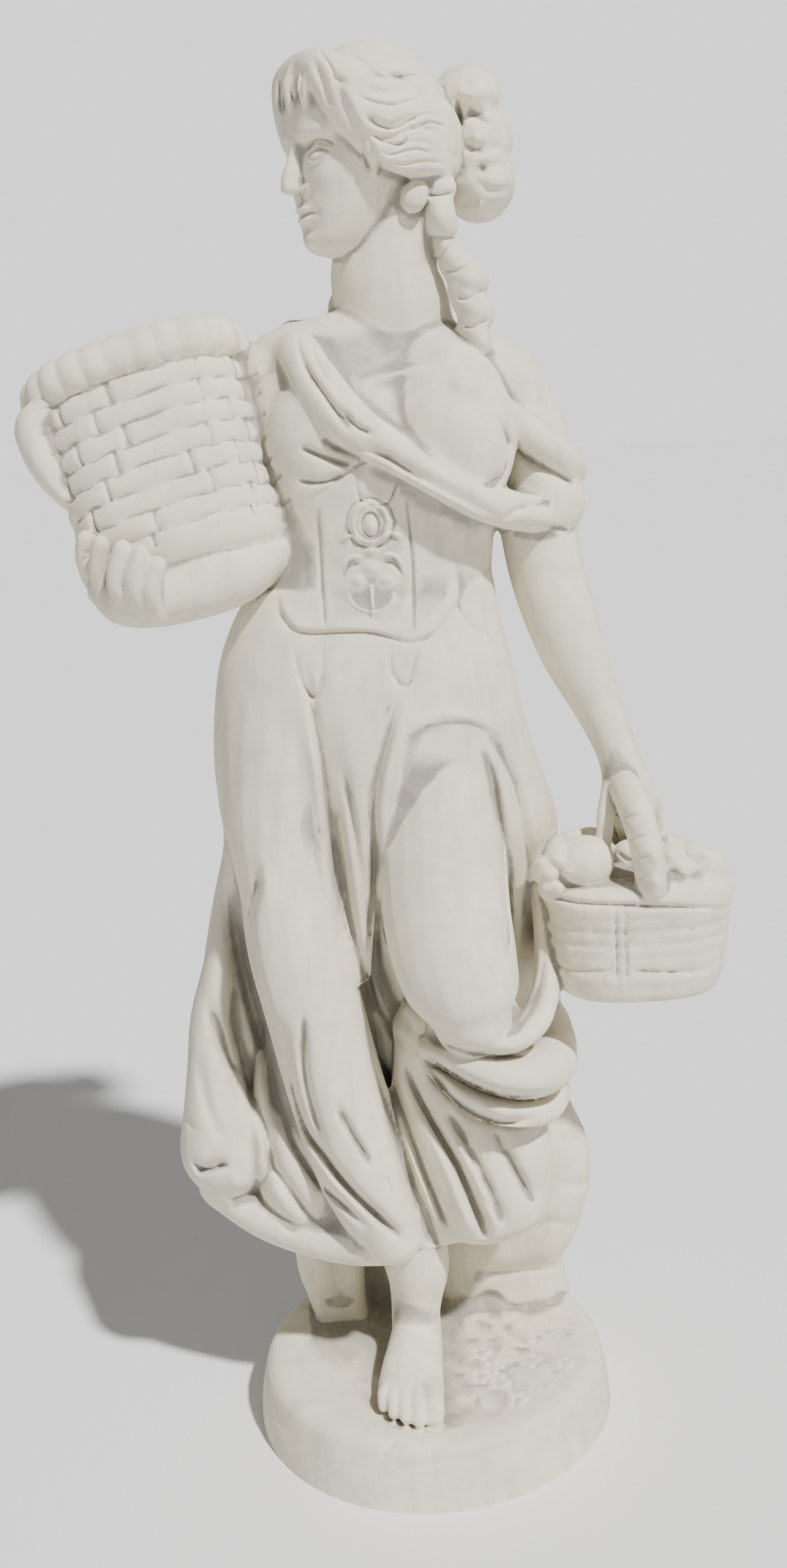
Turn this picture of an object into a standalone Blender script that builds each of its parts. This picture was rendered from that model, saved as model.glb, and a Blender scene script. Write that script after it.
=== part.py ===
"""Garden statue of a barefoot girl in a laced bodice, carrying a creel on one arm and a basket of fruit in
the other hand, cast in one piece with the rock behind her and the round base under her.

The base, the creel's wall and the creel's hollow have sizes of their own, in metres. The figure is a free
form: it is laid out in units of FIGURE_HEIGHT / FIGURE_UNITS, which are centimetres at the real size, on the
upright plane through the statue's axis, as a spectator in front of her sees it. +X is the spectator's right,
+Y is away from the spectator and +Z is up. The origin is the middle of the base's underside.
"""

import math

import bmesh
import bpy
import numpy as np

# Real sizes, in metres.
FIGURE_HEIGHT = 1.434
BASE_HEIGHT = 0.075
BASE_RADIUS = 0.208
BASE_SLOPE = 0.008
BASE_EDGE_ROUNDING = 0.018
CREEL_WALL = 0.024
CREEL_HOLLOW_DEPTH = 0.13

# The figure's own layout, in units of her height.
FIGURE_UNITS = 143.4
GROUND = 6.6
EYE = (-1.0, -163.0, 111.5)
UNIT = FIGURE_HEIGHT / FIGURE_UNITS

# How finely the forms are merged, in metres, and how many triangles the cast keeps.
BODY_VOXEL = 0.006
CAST_VOXEL = 0.005
HEAD_VOXEL = 0.003
BODY_SOFTNESS = 0.015
CAST_SOFTNESS = 0.005
HEAD_SOFTNESS = 0.004
CAST_TRIANGLES = 9900
STONE_COLOUR = (0.80, 0.79, 0.74, 1.0)
STONE_ROUGHNESS = 0.85


def seen(u, w, y):
    """The point at depth y that the spectator sees at (u, w) on the plane through the statue's axis."""
    k = nearness(y)
    return (EYE[0] + (u - EYE[0]) * k, y, EYE[2] + (w - EYE[2]) * k)


def nearness(y):
    """How much smaller a thing at depth y is than it looks on the plane through the axis."""
    return (y - EYE[1]) / -EYE[1]


def world(points):
    """Layout points, in units above the base's underside, in metres. The figure stands on the base's
    top."""
    placed = np.array(points, float).reshape(-1, 3) * UNIT
    placed[:, 2] += BASE_HEIGHT - GROUND * UNIT
    return placed


def layout(points):
    """The inverse of world()."""
    placed = np.array(points, float).reshape(-1, 3)
    placed[:, 2] -= BASE_HEIGHT - GROUND * UNIT
    return placed / UNIT


def smooth_line(points, steps):
    """A Catmull-Rom curve through the points, with so many steps between each two."""
    p = np.array(points, float)
    p = np.vstack([2 * p[0] - p[1], p, 2 * p[-1] - p[-2]])
    rows = []
    for i in range(1, len(p) - 2):
        for t in np.arange(steps) / steps:
            rows.append(
                0.5
                * (
                    2 * p[i]
                    + (p[i + 1] - p[i - 1]) * t
                    + (2 * p[i - 1] - 5 * p[i] + 4 * p[i + 1] - p[i + 2]) * t**2
                    + (3 * p[i] - p[i - 1] - 3 * p[i + 1] + p[i + 2]) * t**3
                )
            )
    return np.array(rows + [p[-2]])


def unit(v):
    v = np.array(v, float)
    return v / np.linalg.norm(v)


# Closed forms. Each function adds one object and gives it back.


def skin(name, rings):
    """A closed body through rings of points in metres, each with a flat cap at its end."""
    count, sides = rings.shape[:2]
    bm = bmesh.new()
    rows = [[bm.verts.new(p) for p in ring] for ring in rings]
    for low, high in zip(rows, rows[1:]):
        for i in range(sides):
            j = (i + 1) % sides
            bm.faces.new((low[i], low[j], high[j], high[i]))
    bm.faces.new(rows[0][::-1])
    bm.faces.new(rows[-1])
    bmesh.ops.triangulate(bm, faces=bm.faces[:])
    bmesh.ops.recalc_face_normals(bm, faces=bm.faces[:])
    mesh = bpy.data.meshes.new(name)
    bm.to_mesh(mesh)
    bm.free()
    obj = bpy.data.objects.new(name, mesh)
    bpy.context.scene.collection.objects.link(obj)
    return obj


def stack(name, rings, squareness=2.0, steps=4, sides=40, pleats=None):
    """Level rings, bottom to top: (height, left, right, front, back). Pleats, on the back only, are
    their number, the depth they have at the hem and the height where they run out."""
    z, left, right, front, back = smooth_line(rings, steps).T
    a = np.arange(sides) * 2 * math.pi / sides
    c, s = (np.sign(f) * np.abs(f) ** (2 / squareness) for f in (np.cos(a), np.sin(a)))
    middle = (front + back) / 2
    x = ((left + right) / 2)[:, None] + ((right - left) / 2)[:, None] * c
    y = middle[:, None] + ((back - front) / 2)[:, None] * s
    if pleats:
        count, depth, run_out = pleats
        share = np.clip((run_out - z) / (run_out - z[0]), 0, 1)[:, None]
        wave = -depth * share * (0.5 + 0.5 * np.cos(2 * a * count + 1.5 * share)) * np.clip(2 * s, 0, 1)
        x, y = x + wave * c, y + wave * s
    return skin(name, world(np.stack([x, y, z[:, None] + 0 * x], -1)).reshape(*x.shape, 3))


def limb(name, stations, steps=4, sides=20, deep_axis=(0, 1, 0)):
    """A round-ended tube: each station is where it is seen, its depth and its half width and half
    depth."""
    path = []
    for u, w, y, wide, deep in stations:
        path.append((*seen(u, w, y), wide * nearness(y), deep * nearness(y)))
    return tube(name, path, steps, sides, deep_axis)


def tube(name, stations, steps=4, sides=20, deep_axis=(0, 1, 0)):
    """A round-ended tube through (x, y, z, half width, half depth)."""
    line = smooth_line(stations, steps)
    middle, wide, deep = line[:, :3], line[:, 3], line[:, 4]
    along = np.gradient(middle, axis=0)
    along /= np.linalg.norm(along, axis=1)[:, None]
    depth = np.array(deep_axis, float) - along * (along @ np.array(deep_axis, float))[:, None]
    depth /= np.linalg.norm(depth, axis=1)[:, None]
    side = np.cross(depth, along)
    a = np.arange(sides) * 2 * math.pi / sides
    rings = []

    def ring(i, shift, shrink):
        return (
            middle[i]
            + along[i] * shift
            + np.outer(np.cos(a), side[i]) * wide[i] * shrink
            + np.outer(np.sin(a), depth[i]) * deep[i] * shrink
        )

    for turn in (85, 60, 30):
        t = math.radians(turn)
        rings.append(ring(0, -min(wide[0], deep[0]) * math.sin(t), math.cos(t)))
    rings += [ring(i, 0, 1) for i in range(len(line))]
    for turn in (30, 60, 85):
        t = math.radians(turn)
        rings.append(ring(-1, min(wide[-1], deep[-1]) * math.sin(t), math.cos(t)))
    return skin(name, world(np.array(rings)).reshape(len(rings), sides, 3))


def ball(name, centre, radii, turn=0.0, lean=0.0):
    """An ellipsoid: radii along X, Y and Z, leant about Y and then turned about Z, in degrees."""
    turns, rows = 20, 12
    theta = np.arange(turns) * 2 * math.pi / turns
    phi = np.radians(np.linspace(-86, 86, rows))
    p = np.stack(
        [
            np.cos(phi)[:, None] * np.cos(theta),
            np.cos(phi)[:, None] * np.sin(theta),
            np.sin(phi)[:, None] + 0 * theta,
        ],
        -1,
    )
    p = p * np.array(radii, float)
    c, s = math.cos(math.radians(lean)), math.sin(math.radians(lean))
    about_y = np.array([[c, 0, s], [0, 1, 0], [-s, 0, c]])
    c, s = math.cos(math.radians(turn)), math.sin(math.radians(turn))
    about_z = np.array([[c, -s, 0], [s, c, 0], [0, 0, 1]])
    p = p @ (about_z @ about_y).T + np.array(centre, float)
    return skin(name, world(p).reshape(rows, turns, 3))


# Merging and carving.


def merged(name, parts, voxel, softness):
    """The parts as one closed skin, softened where they meet."""
    bm = bmesh.new()
    for part in parts:
        bm.from_mesh(part.data)
        bpy.data.objects.remove(part)
    mesh = bpy.data.meshes.new(name)
    bm.to_mesh(mesh)
    bm.free()
    obj = bpy.data.objects.new(name, mesh)
    bpy.context.scene.collection.objects.link(obj)
    remesh = obj.modifiers.new("Merge", "REMESH")
    remesh.mode = "VOXEL"
    remesh.voxel_size = voxel
    soften = obj.modifiers.new("Soften", "SMOOTH")
    soften.factor = 0.5
    soften.iterations = round((softness / voxel) ** 2)
    return applied(obj)


def applied(obj):
    """The object with its modifiers made part of its mesh."""
    graph = bpy.context.evaluated_depsgraph_get()
    mesh = bpy.data.meshes.new_from_object(obj.evaluated_get(graph))
    obj.modifiers.clear()
    obj.data = mesh
    return obj


def coordinates(mesh):
    co = np.empty(len(mesh.vertices) * 3, np.float32)
    mesh.vertices.foreach_get("co", co)
    return co.reshape(-1, 3).astype(float)


def normals(mesh):
    n = np.empty(len(mesh.vertices) * 3, np.float32)
    mesh.vertex_normals.foreach_get("vector", n)
    return n.reshape(-1, 3).astype(float)


def spectator_view(points):
    """Where the spectator sees layout points on the plane through the axis, and the direction back to
    the eye."""
    k = nearness(points[:, 1])
    seen_at = np.stack([EYE[0] + (points[:, 0] - EYE[0]) / k, EYE[2] + (points[:, 2] - EYE[2]) / k], -1)
    sight = np.array(EYE) - points
    return seen_at, sight / np.linalg.norm(sight, axis=1)[:, None]


def to_line(points, line):
    """For each point: its distance to the line, on which side it lies (left is positive), and how far
    along."""
    best = np.full(len(points), np.inf)
    side = np.ones(len(points))
    share = np.zeros(len(points))
    for i, (a, b) in enumerate(zip(line, line[1:])):
        d = b - a
        t = np.clip((points - a) @ d / max(d @ d, 1e-9), 0, 1)
        off = points - a - t[:, None] * d
        far = np.hypot(off[:, 0], off[:, 1])
        nearer = far < best
        best[nearer] = far[nearer]
        side[nearer] = np.sign(d[0] * off[nearer, 1] - d[1] * off[nearer, 0])
        share[nearer] = (i + t[nearer]) / (len(line) - 1)
    return best, side, share


def overlap(s):
    """A cloth's edge lying on another: raised on the left of its line, sunk on the right."""
    return np.tanh(s / 0.45) * np.where(s > 0, np.exp(-((s / 1.3) ** 2)), np.exp(-((s / 0.7) ** 2)))


PROFILES = {
    "groove": lambda s: -np.exp(-((s / 0.5) ** 2)),
    "ridge": lambda s: np.exp(-((s / 0.55) ** 2)),
    "edge": overlap,
}


def facing_side(obj, view):
    """The skin's layout points, where the view sees them, the way to the viewer and how squarely each
    one faces."""
    co = layout(coordinates(obj.data))
    seen_at, sight = view(co)
    square = np.clip((np.einsum("ij,ij->i", normals(obj.data), sight) - 0.1) / 0.35, 0, 1)
    return co, seen_at, sight, square


def reshaped(obj, points):
    obj.data.vertices.foreach_set("co", world(points).astype(np.float32).ravel())
    obj.data.update()
    return obj


def carve(obj, strokes, view=spectator_view):
    """Moves the skin that faces the viewer along the line of sight: each stroke is a profile, the
    points of its line as the viewer sees them, its half width and its depth. A line that ends where it
    starts has no ends."""
    co, seen_at, sight, square = facing_side(obj, view)
    for profile, points, width, depth in strokes:
        line = smooth_line(points, 6)
        low, high = line.min(0) - 2.2 * width, line.max(0) + 2.2 * width
        near = np.flatnonzero((square > 0) & (seen_at > low).all(1) & (seen_at < high).all(1))
        far, side, share = to_line(seen_at[near], line)
        fade = np.clip(np.minimum(share, 1 - share) / 0.25, 0, 1)
        if points[0] == points[-1]:
            fade[:] = 1
        fade = fade * fade * (3 - 2 * fade) * square[near]
        co[near] += sight[near] * (PROFILES[profile](far * side / width) * depth * fade)[:, None]
    return reshaped(obj, co)


def press(obj, dents, view=spectator_view):
    """Raises or sinks soft round places: where the viewer sees the middle, the half width and half
    height, and how far it stands out."""
    co, seen_at, sight, square = facing_side(obj, view)
    for middle, wide, tall, out in dents:
        off = ((seen_at - np.array(middle)) / (wide, tall)) ** 2
        co += sight * (np.exp(-off.sum(1)) * out * square)[:, None]
    return reshaped(obj, co)


# The dress and the body under it.


def skirt():
    """The gathered skirt: its whole spread, the standing leg and the raised thigh that push it forward,
    the panel between them, the sweep to the left hem, the fan under the knee and the rolls of cloth
    hung round the knee."""
    spread = stack(
        "skirt_spread",
        [
            (21.2, -8.0, -1.0, -5.0, 6.0),
            (22.2, -13.0, 8.0, -6.4, 9.0),
            (23.4, -16.8, 10.2, -6.8, 11.0),
            (24.8, -20.0, 12.0, -6.8, 12.2),
            (26.4, -23.4, 13.4, -6.6, 12.8),
            (29.0, -25.0, 15.0, -6.0, 13.2),
            (33.0, -26.2, 15.5, -5.5, 13.8),
            (37.0, -26.6, 15.6, -4.5, 14.0),
            (42.0, -25.7, 17.2, -3.5, 14.0),
            (48.0, -25.0, 17.0, -3.5, 13.8),
            (55.0, -23.8, 15.6, -4.5, 13.5),
            (62.0, -22.1, 16.0, -6.5, 13.2),
            (69.0, -20.2, 17.0, -9.0, 13.0),
            (74.0, -20.3, 15.9, -10.6, 13.0),
            (80.0, -20.3, 14.0, -11.6, 13.0),
            (88.0, -19.2, 12.4, -11.4, 11.8),
            (93.0, -17.4, 11.3, -10.4, 9.8),
            (97.0, -15.0, 10.7, -9.4, 8.2),
        ],
        squareness=2.4,
        sides=96,
        pleats=(9, 2.2, 90.0),
    )
    standing_leg = limb(
        "standing_leg",
        [
            (-10.4, 89, -0.5, 7.6, 9.4),
            (-11.6, 80, -1.5, 8.4, 9.8),
            (-13.3, 72, -3.0, 6.7, 9.0),
            (-13.1, 64, -4.5, 5.7, 8.2),
            (-12.8, 57, -6.0, 5.6, 7.6),
            (-11.5, 50, -6.5, 5.6, 7.0),
            (-10.0, 42, -6.5, 5.6, 6.6),
            (-8.4, 35, -6.5, 5.6, 6.0),
            (-6.8, 29, -6.5, 5.4, 5.6),
            (-5.2, 24, -6.5, 4.8, 4.9),
            (-4.0, 20.6, -7.0, 3.6, 3.8),
        ],
    )
    left_sweep = limb(
        "left_sweep",
        [
            (-14.6, 52, 1.0, 1.6, 3.4),
            (-15.2, 45, -0.8, 2.8, 3.8),
            (-15.4, 38, -2.6, 4.0, 4.0),
            (-14.2, 32, -3.6, 5.6, 4.4),
            (-12.6, 28, -3.8, 6.4, 4.0),
            (-11.0, 25.2, -3.8, 5.6, 3.0),
        ],
    )
    left_hem = limb(
        "left_hem",
        [
            (-23.2, 28.8, 0.5, 2.8, 4.6),
            (-18.4, 25.4, -0.8, 3.4, 5.0),
            (-13.4, 23.0, -2.2, 3.5, 5.2),
            (-8.4, 21.4, -3.6, 3.5, 5.0),
            (-4.4, 20.8, -4.4, 3.3, 4.6),
        ],
    )
    left_flap = limb(
        "left_flap",
        [
            (-18.4, 70, 3.0, 0.8, 3.0),
            (-20.3, 62, 1.6, 1.3, 3.6),
            (-21.6, 55, 0.2, 1.9, 4.0),
            (-22.9, 49, -0.8, 2.5, 4.2),
            (-23.1, 43, -1.8, 3.2, 4.6),
            (-23.1, 37, -2.4, 4.2, 5.0),
            (-23.2, 32.5, -2.6, 4.7, 5.0),
            (-22.6, 29.4, -2.2, 3.6, 3.8),
        ],
    )
    raised_thigh = limb(
        "raised_thigh",
        [
            (4.8, 84, 1.5, 6.6, 9.0),
            (4.2, 76, -2.0, 7.0, 9.2),
            (3.9, 68, -5.0, 7.2, 8.8),
            (4.1, 60, -8.0, 7.2, 8.4),
            (4.9, 54, -10.5, 7.0, 7.8),
            (5.9, 50, -12.0, 6.3, 6.8),
            (6.4, 47.4, -12.4, 4.8, 5.2),
        ],
    )
    bent_shin = limb("bent_shin", [(6.5, 47, -8, 5.5, 5.5), (7.5, 38, -3, 5.5, 5), (8.5, 30, 3, 5, 5)])
    fan = limb(
        "fan",
        [
            (1.2, 46, -5.0, 4.0, 4.0),
            (4.0, 38, -4.5, 7.8, 5.0),
            (6.4, 30, -4.5, 8.8, 5.4),
            (7.4, 24.4, -4.5, 7.6, 5.0),
        ],
    )
    panel = limb(
        "panel",
        [
            (-4.0, 88, -6.0, 5.4, 4.6),
            (-5.0, 76, -6.8, 4.0, 4.6),
            (-5.6, 66, -6.8, 2.6, 4.0),
            (-5.7, 58, -6.8, 1.6, 3.2),
            (-5.6, 53, -6.6, 0.9, 2.2),
        ],
    )
    rolls = [
        limb(
            "upper_roll",
            [
                (1.0, 44.0, -9.5, 0.9, 1.4),
                (3.5, 42.4, -12.0, 1.4, 2.0),
                (6.0, 41.0, -13.2, 1.8, 2.4),
                (8.5, 40.1, -13.8, 2.2, 2.6),
                (11.5, 39.7, -12.8, 2.7, 2.8),
                (14.5, 40.4, -8.5, 2.7, 3.0),
                (15.9, 42.8, -2.0, 2.4, 2.8),
                (15.6, 46.5, 3.0, 1.9, 2.4),
            ],
            deep_axis=(0.2, 1, 0),
        ),
        limb(
            "lower_roll",
            [
                (0.7, 42.7, -9.0, 0.7, 1.2),
                (2.7, 40.2, -10.6, 1.1, 1.8),
                (5.1, 37.9, -11.6, 1.6, 2.2),
                (7.6, 36.3, -11.8, 1.8, 2.4),
                (10.3, 35.6, -11.0, 1.8, 2.4),
                (12.8, 35.5, -9.2, 1.7, 2.4),
                (14.6, 36.2, -5.8, 1.6, 2.2),
                (15.8, 38.0, -1.0, 1.3, 2.0),
            ],
            deep_axis=(0.2, 1, 0),
        ),
        limb(
            "side_roll",
            [
                (14.8, 62, -2.0, 1.2, 2.6),
                (15.2, 56, -3.6, 1.4, 3.0),
                (15.2, 51.5, -5.4, 1.6, 3.2),
                (14.2, 47.6, -8.4, 1.7, 2.8),
                (12.2, 45.0, -12.0, 1.6, 2.4),
                (9.6, 43.7, -14.4, 1.2, 2.0),
                (7.0, 43.6, -14.6, 0.8, 1.4),
            ],
            deep_axis=(0.2, 1, 0),
        ),
    ]
    left_side = [standing_leg, left_sweep, left_hem, left_flap]
    return [spread, *left_side, raised_thigh, bent_shin, fan, panel, *rolls]


def torso():
    """Bodice, breast, shoulders and neck, with the scarf's roll across the chest and the puffed
    sleeve."""
    trunk = stack(
        "trunk",
        [
            (90.0, -13.6, 11.2, -10.0, 9.4),
            (96.0, -14.2, 10.6, -9.6, 8.2),
            (100.0, -12.4, 10.8, -9.6, 8.2),
            (104.0, -12.3, 11.5, -9.9, 8.8),
            (108.0, -13.0, 12.3, -10.2, 9.6),
            (112.0, -13.8, 13.0, -9.6, 10.3),
            (116.0, -14.4, 14.0, -7.8, 10.4),
            (119.0, -14.0, 13.4, -6.0, 9.6),
            (121.0, -13.4, 11.4, -4.8, 8.2),
            (123.0, -11.6, 7.8, -4.0, 7.0),
            (125.0, -4.5, 6.2, -3.5, 6.0),
        ],
        squareness=2.3,
    )
    left_breast = limb(
        "left_breast",
        [
            (4.4, 119.6, -1.4, 5.0, 3.6),
            (5.6, 116.6, -3.8, 6.2, 4.4),
            (6.9, 113.6, -5.6, 6.5, 5.2),
            (7.8, 110.8, -6.6, 6.2, 5.6),
            (8.2, 108.2, -6.0, 5.2, 5.2),
            (8.2, 106.2, -4.6, 3.4, 4.0),
        ],
    )
    right_breast = ball("right_breast", seen(-6.2, 111.8, -5.0), (6.0, 4.6, 6.6), lean=-10)
    shoulder = limb(
        "shoulder",
        [
            (3.0, 120.4, 1.0, 3.4, 4.4),
            (8.0, 118.6, 0.8, 3.6, 4.8),
            (12.4, 116.6, 0.6, 4.3, 5.0),
            (13.8, 112.0, 0.4, 4.4, 4.8),
        ],
    )
    neck = limb(
        "neck",
        [
            (1.6, 117, 1.4, 8.0, 5.8),
            (1.6, 121.5, 1.0, 6.5, 5.4),
            (1.4, 125, 0.4, 6.0, 5.1),
            (0.9, 128, 0.2, 5.5, 5.1),
            (1.6, 132, 0.4, 5.2, 5.3),
            (2.0, 137, 1.0, 5.0, 5.5),
        ],
    )
    scarf = limb(
        "scarf",
        [
            (-8.8, 122.6, 1.0, 1.6, 1.6),
            (-8.2, 120.6, -4.2, 2.2, 1.8),
            (-6.0, 116.6, -8.0, 2.6, 2.2),
            (-3.0, 113.0, -9.6, 2.5, 2.2),
            (1.0, 110.2, -10.2, 2.2, 2.2),
            (5.0, 107.6, -10.8, 2.0, 2.4),
            (9.0, 105.2, -9.8, 2.1, 2.4),
            (12.4, 103.8, -7.2, 2.1, 2.4),
            (15.4, 103.0, -4.2, 1.9, 2.2),
            (17.8, 102.6, -1.0, 1.4, 2.0),
        ],
    )
    sleeve = stack(
        "sleeve",
        [
            (101.2, 11.9, 19.2, -4.0, 4.4),
            (102.2, 11.3, 20.3, -4.9, 5.2),
            (104.4, 11.3, 20.9, -5.4, 5.6),
            (106.4, 11.8, 20.3, -5.3, 5.6),
            (109.0, 12.0, 19.8, -5.4, 5.6),
            (112.0, 11.0, 18.2, -5.2, 5.6),
            (115.0, 10.4, 16.4, -4.2, 5.0),
        ],
    )
    sleeve_band = limb(
        "sleeve_band",
        [
            (8.0, 116.6, -9.4, 1.0, 1.2),
            (12.0, 114.2, -7.4, 1.5, 1.6),
            (15.6, 111.0, -5.4, 1.9, 1.9),
            (18.6, 108.4, -2.6, 1.9, 1.9),
            (19.6, 107.4, 2.0, 1.6, 1.6),
        ],
    )
    return [trunk, left_breast, right_breast, shoulder, neck, scarf, sleeve, sleeve_band]


def arms():
    """The lowered left arm with the fin that stiffens it on its outer side, and the right upper arm,
    bent at the elbow behind the creel."""
    lowered = limb(
        "lowered_arm",
        [
            (14.6, 112, 0.4, 4.4, 4.4),
            (15.6, 104, 0.2, 4.2, 4.3),
            (16.3, 98, 0.0, 4.0, 4.1),
            (17.6, 93, -0.4, 3.9, 4.0),
            (19.2, 88, -0.8, 3.5, 3.6),
            (21.3, 83, -1.4, 2.8, 3.0),
            (23.0, 78.5, -2.0, 2.25, 2.3),
            (24.0, 75.4, -2.4, 2.3, 2.1),
            (24.6, 72.4, -2.6, 2.9, 1.9),
            (25.0, 70.0, -2.4, 2.9, 1.7),
        ],
    )
    fin = limb(
        "fin",
        [
            (19.4, 97, 0.8, 0.9, 1.4),
            (20.9, 91, 0.8, 0.9, 1.5),
            (22.9, 84, 0.2, 0.9, 1.5),
            (24.8, 78, -0.4, 0.9, 1.4),
            (26.6, 72.5, -0.6, 0.9, 1.3),
            (28.0, 67, -0.6, 1.0, 1.3),
        ],
    )
    bent = limb(
        "bent_arm",
        [
            (-10.6, 118.0, 1.5, 4.8, 4.8),
            (-14.5, 112, 7.0, 4.2, 4.2),
            (-15.4, 105, 9.4, 4.1, 4.1),
            (-14.0, 100.0, 6.0, 3.9, 3.9),
            (-12.0, 99.6, 1.0, 3.5, 3.5),
            (-12.4, 100.0, -3.0, 3.2, 3.2),
        ],
        deep_axis=(1, 0.3, 0),
    )
    return [lowered, fin, bent]


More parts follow.
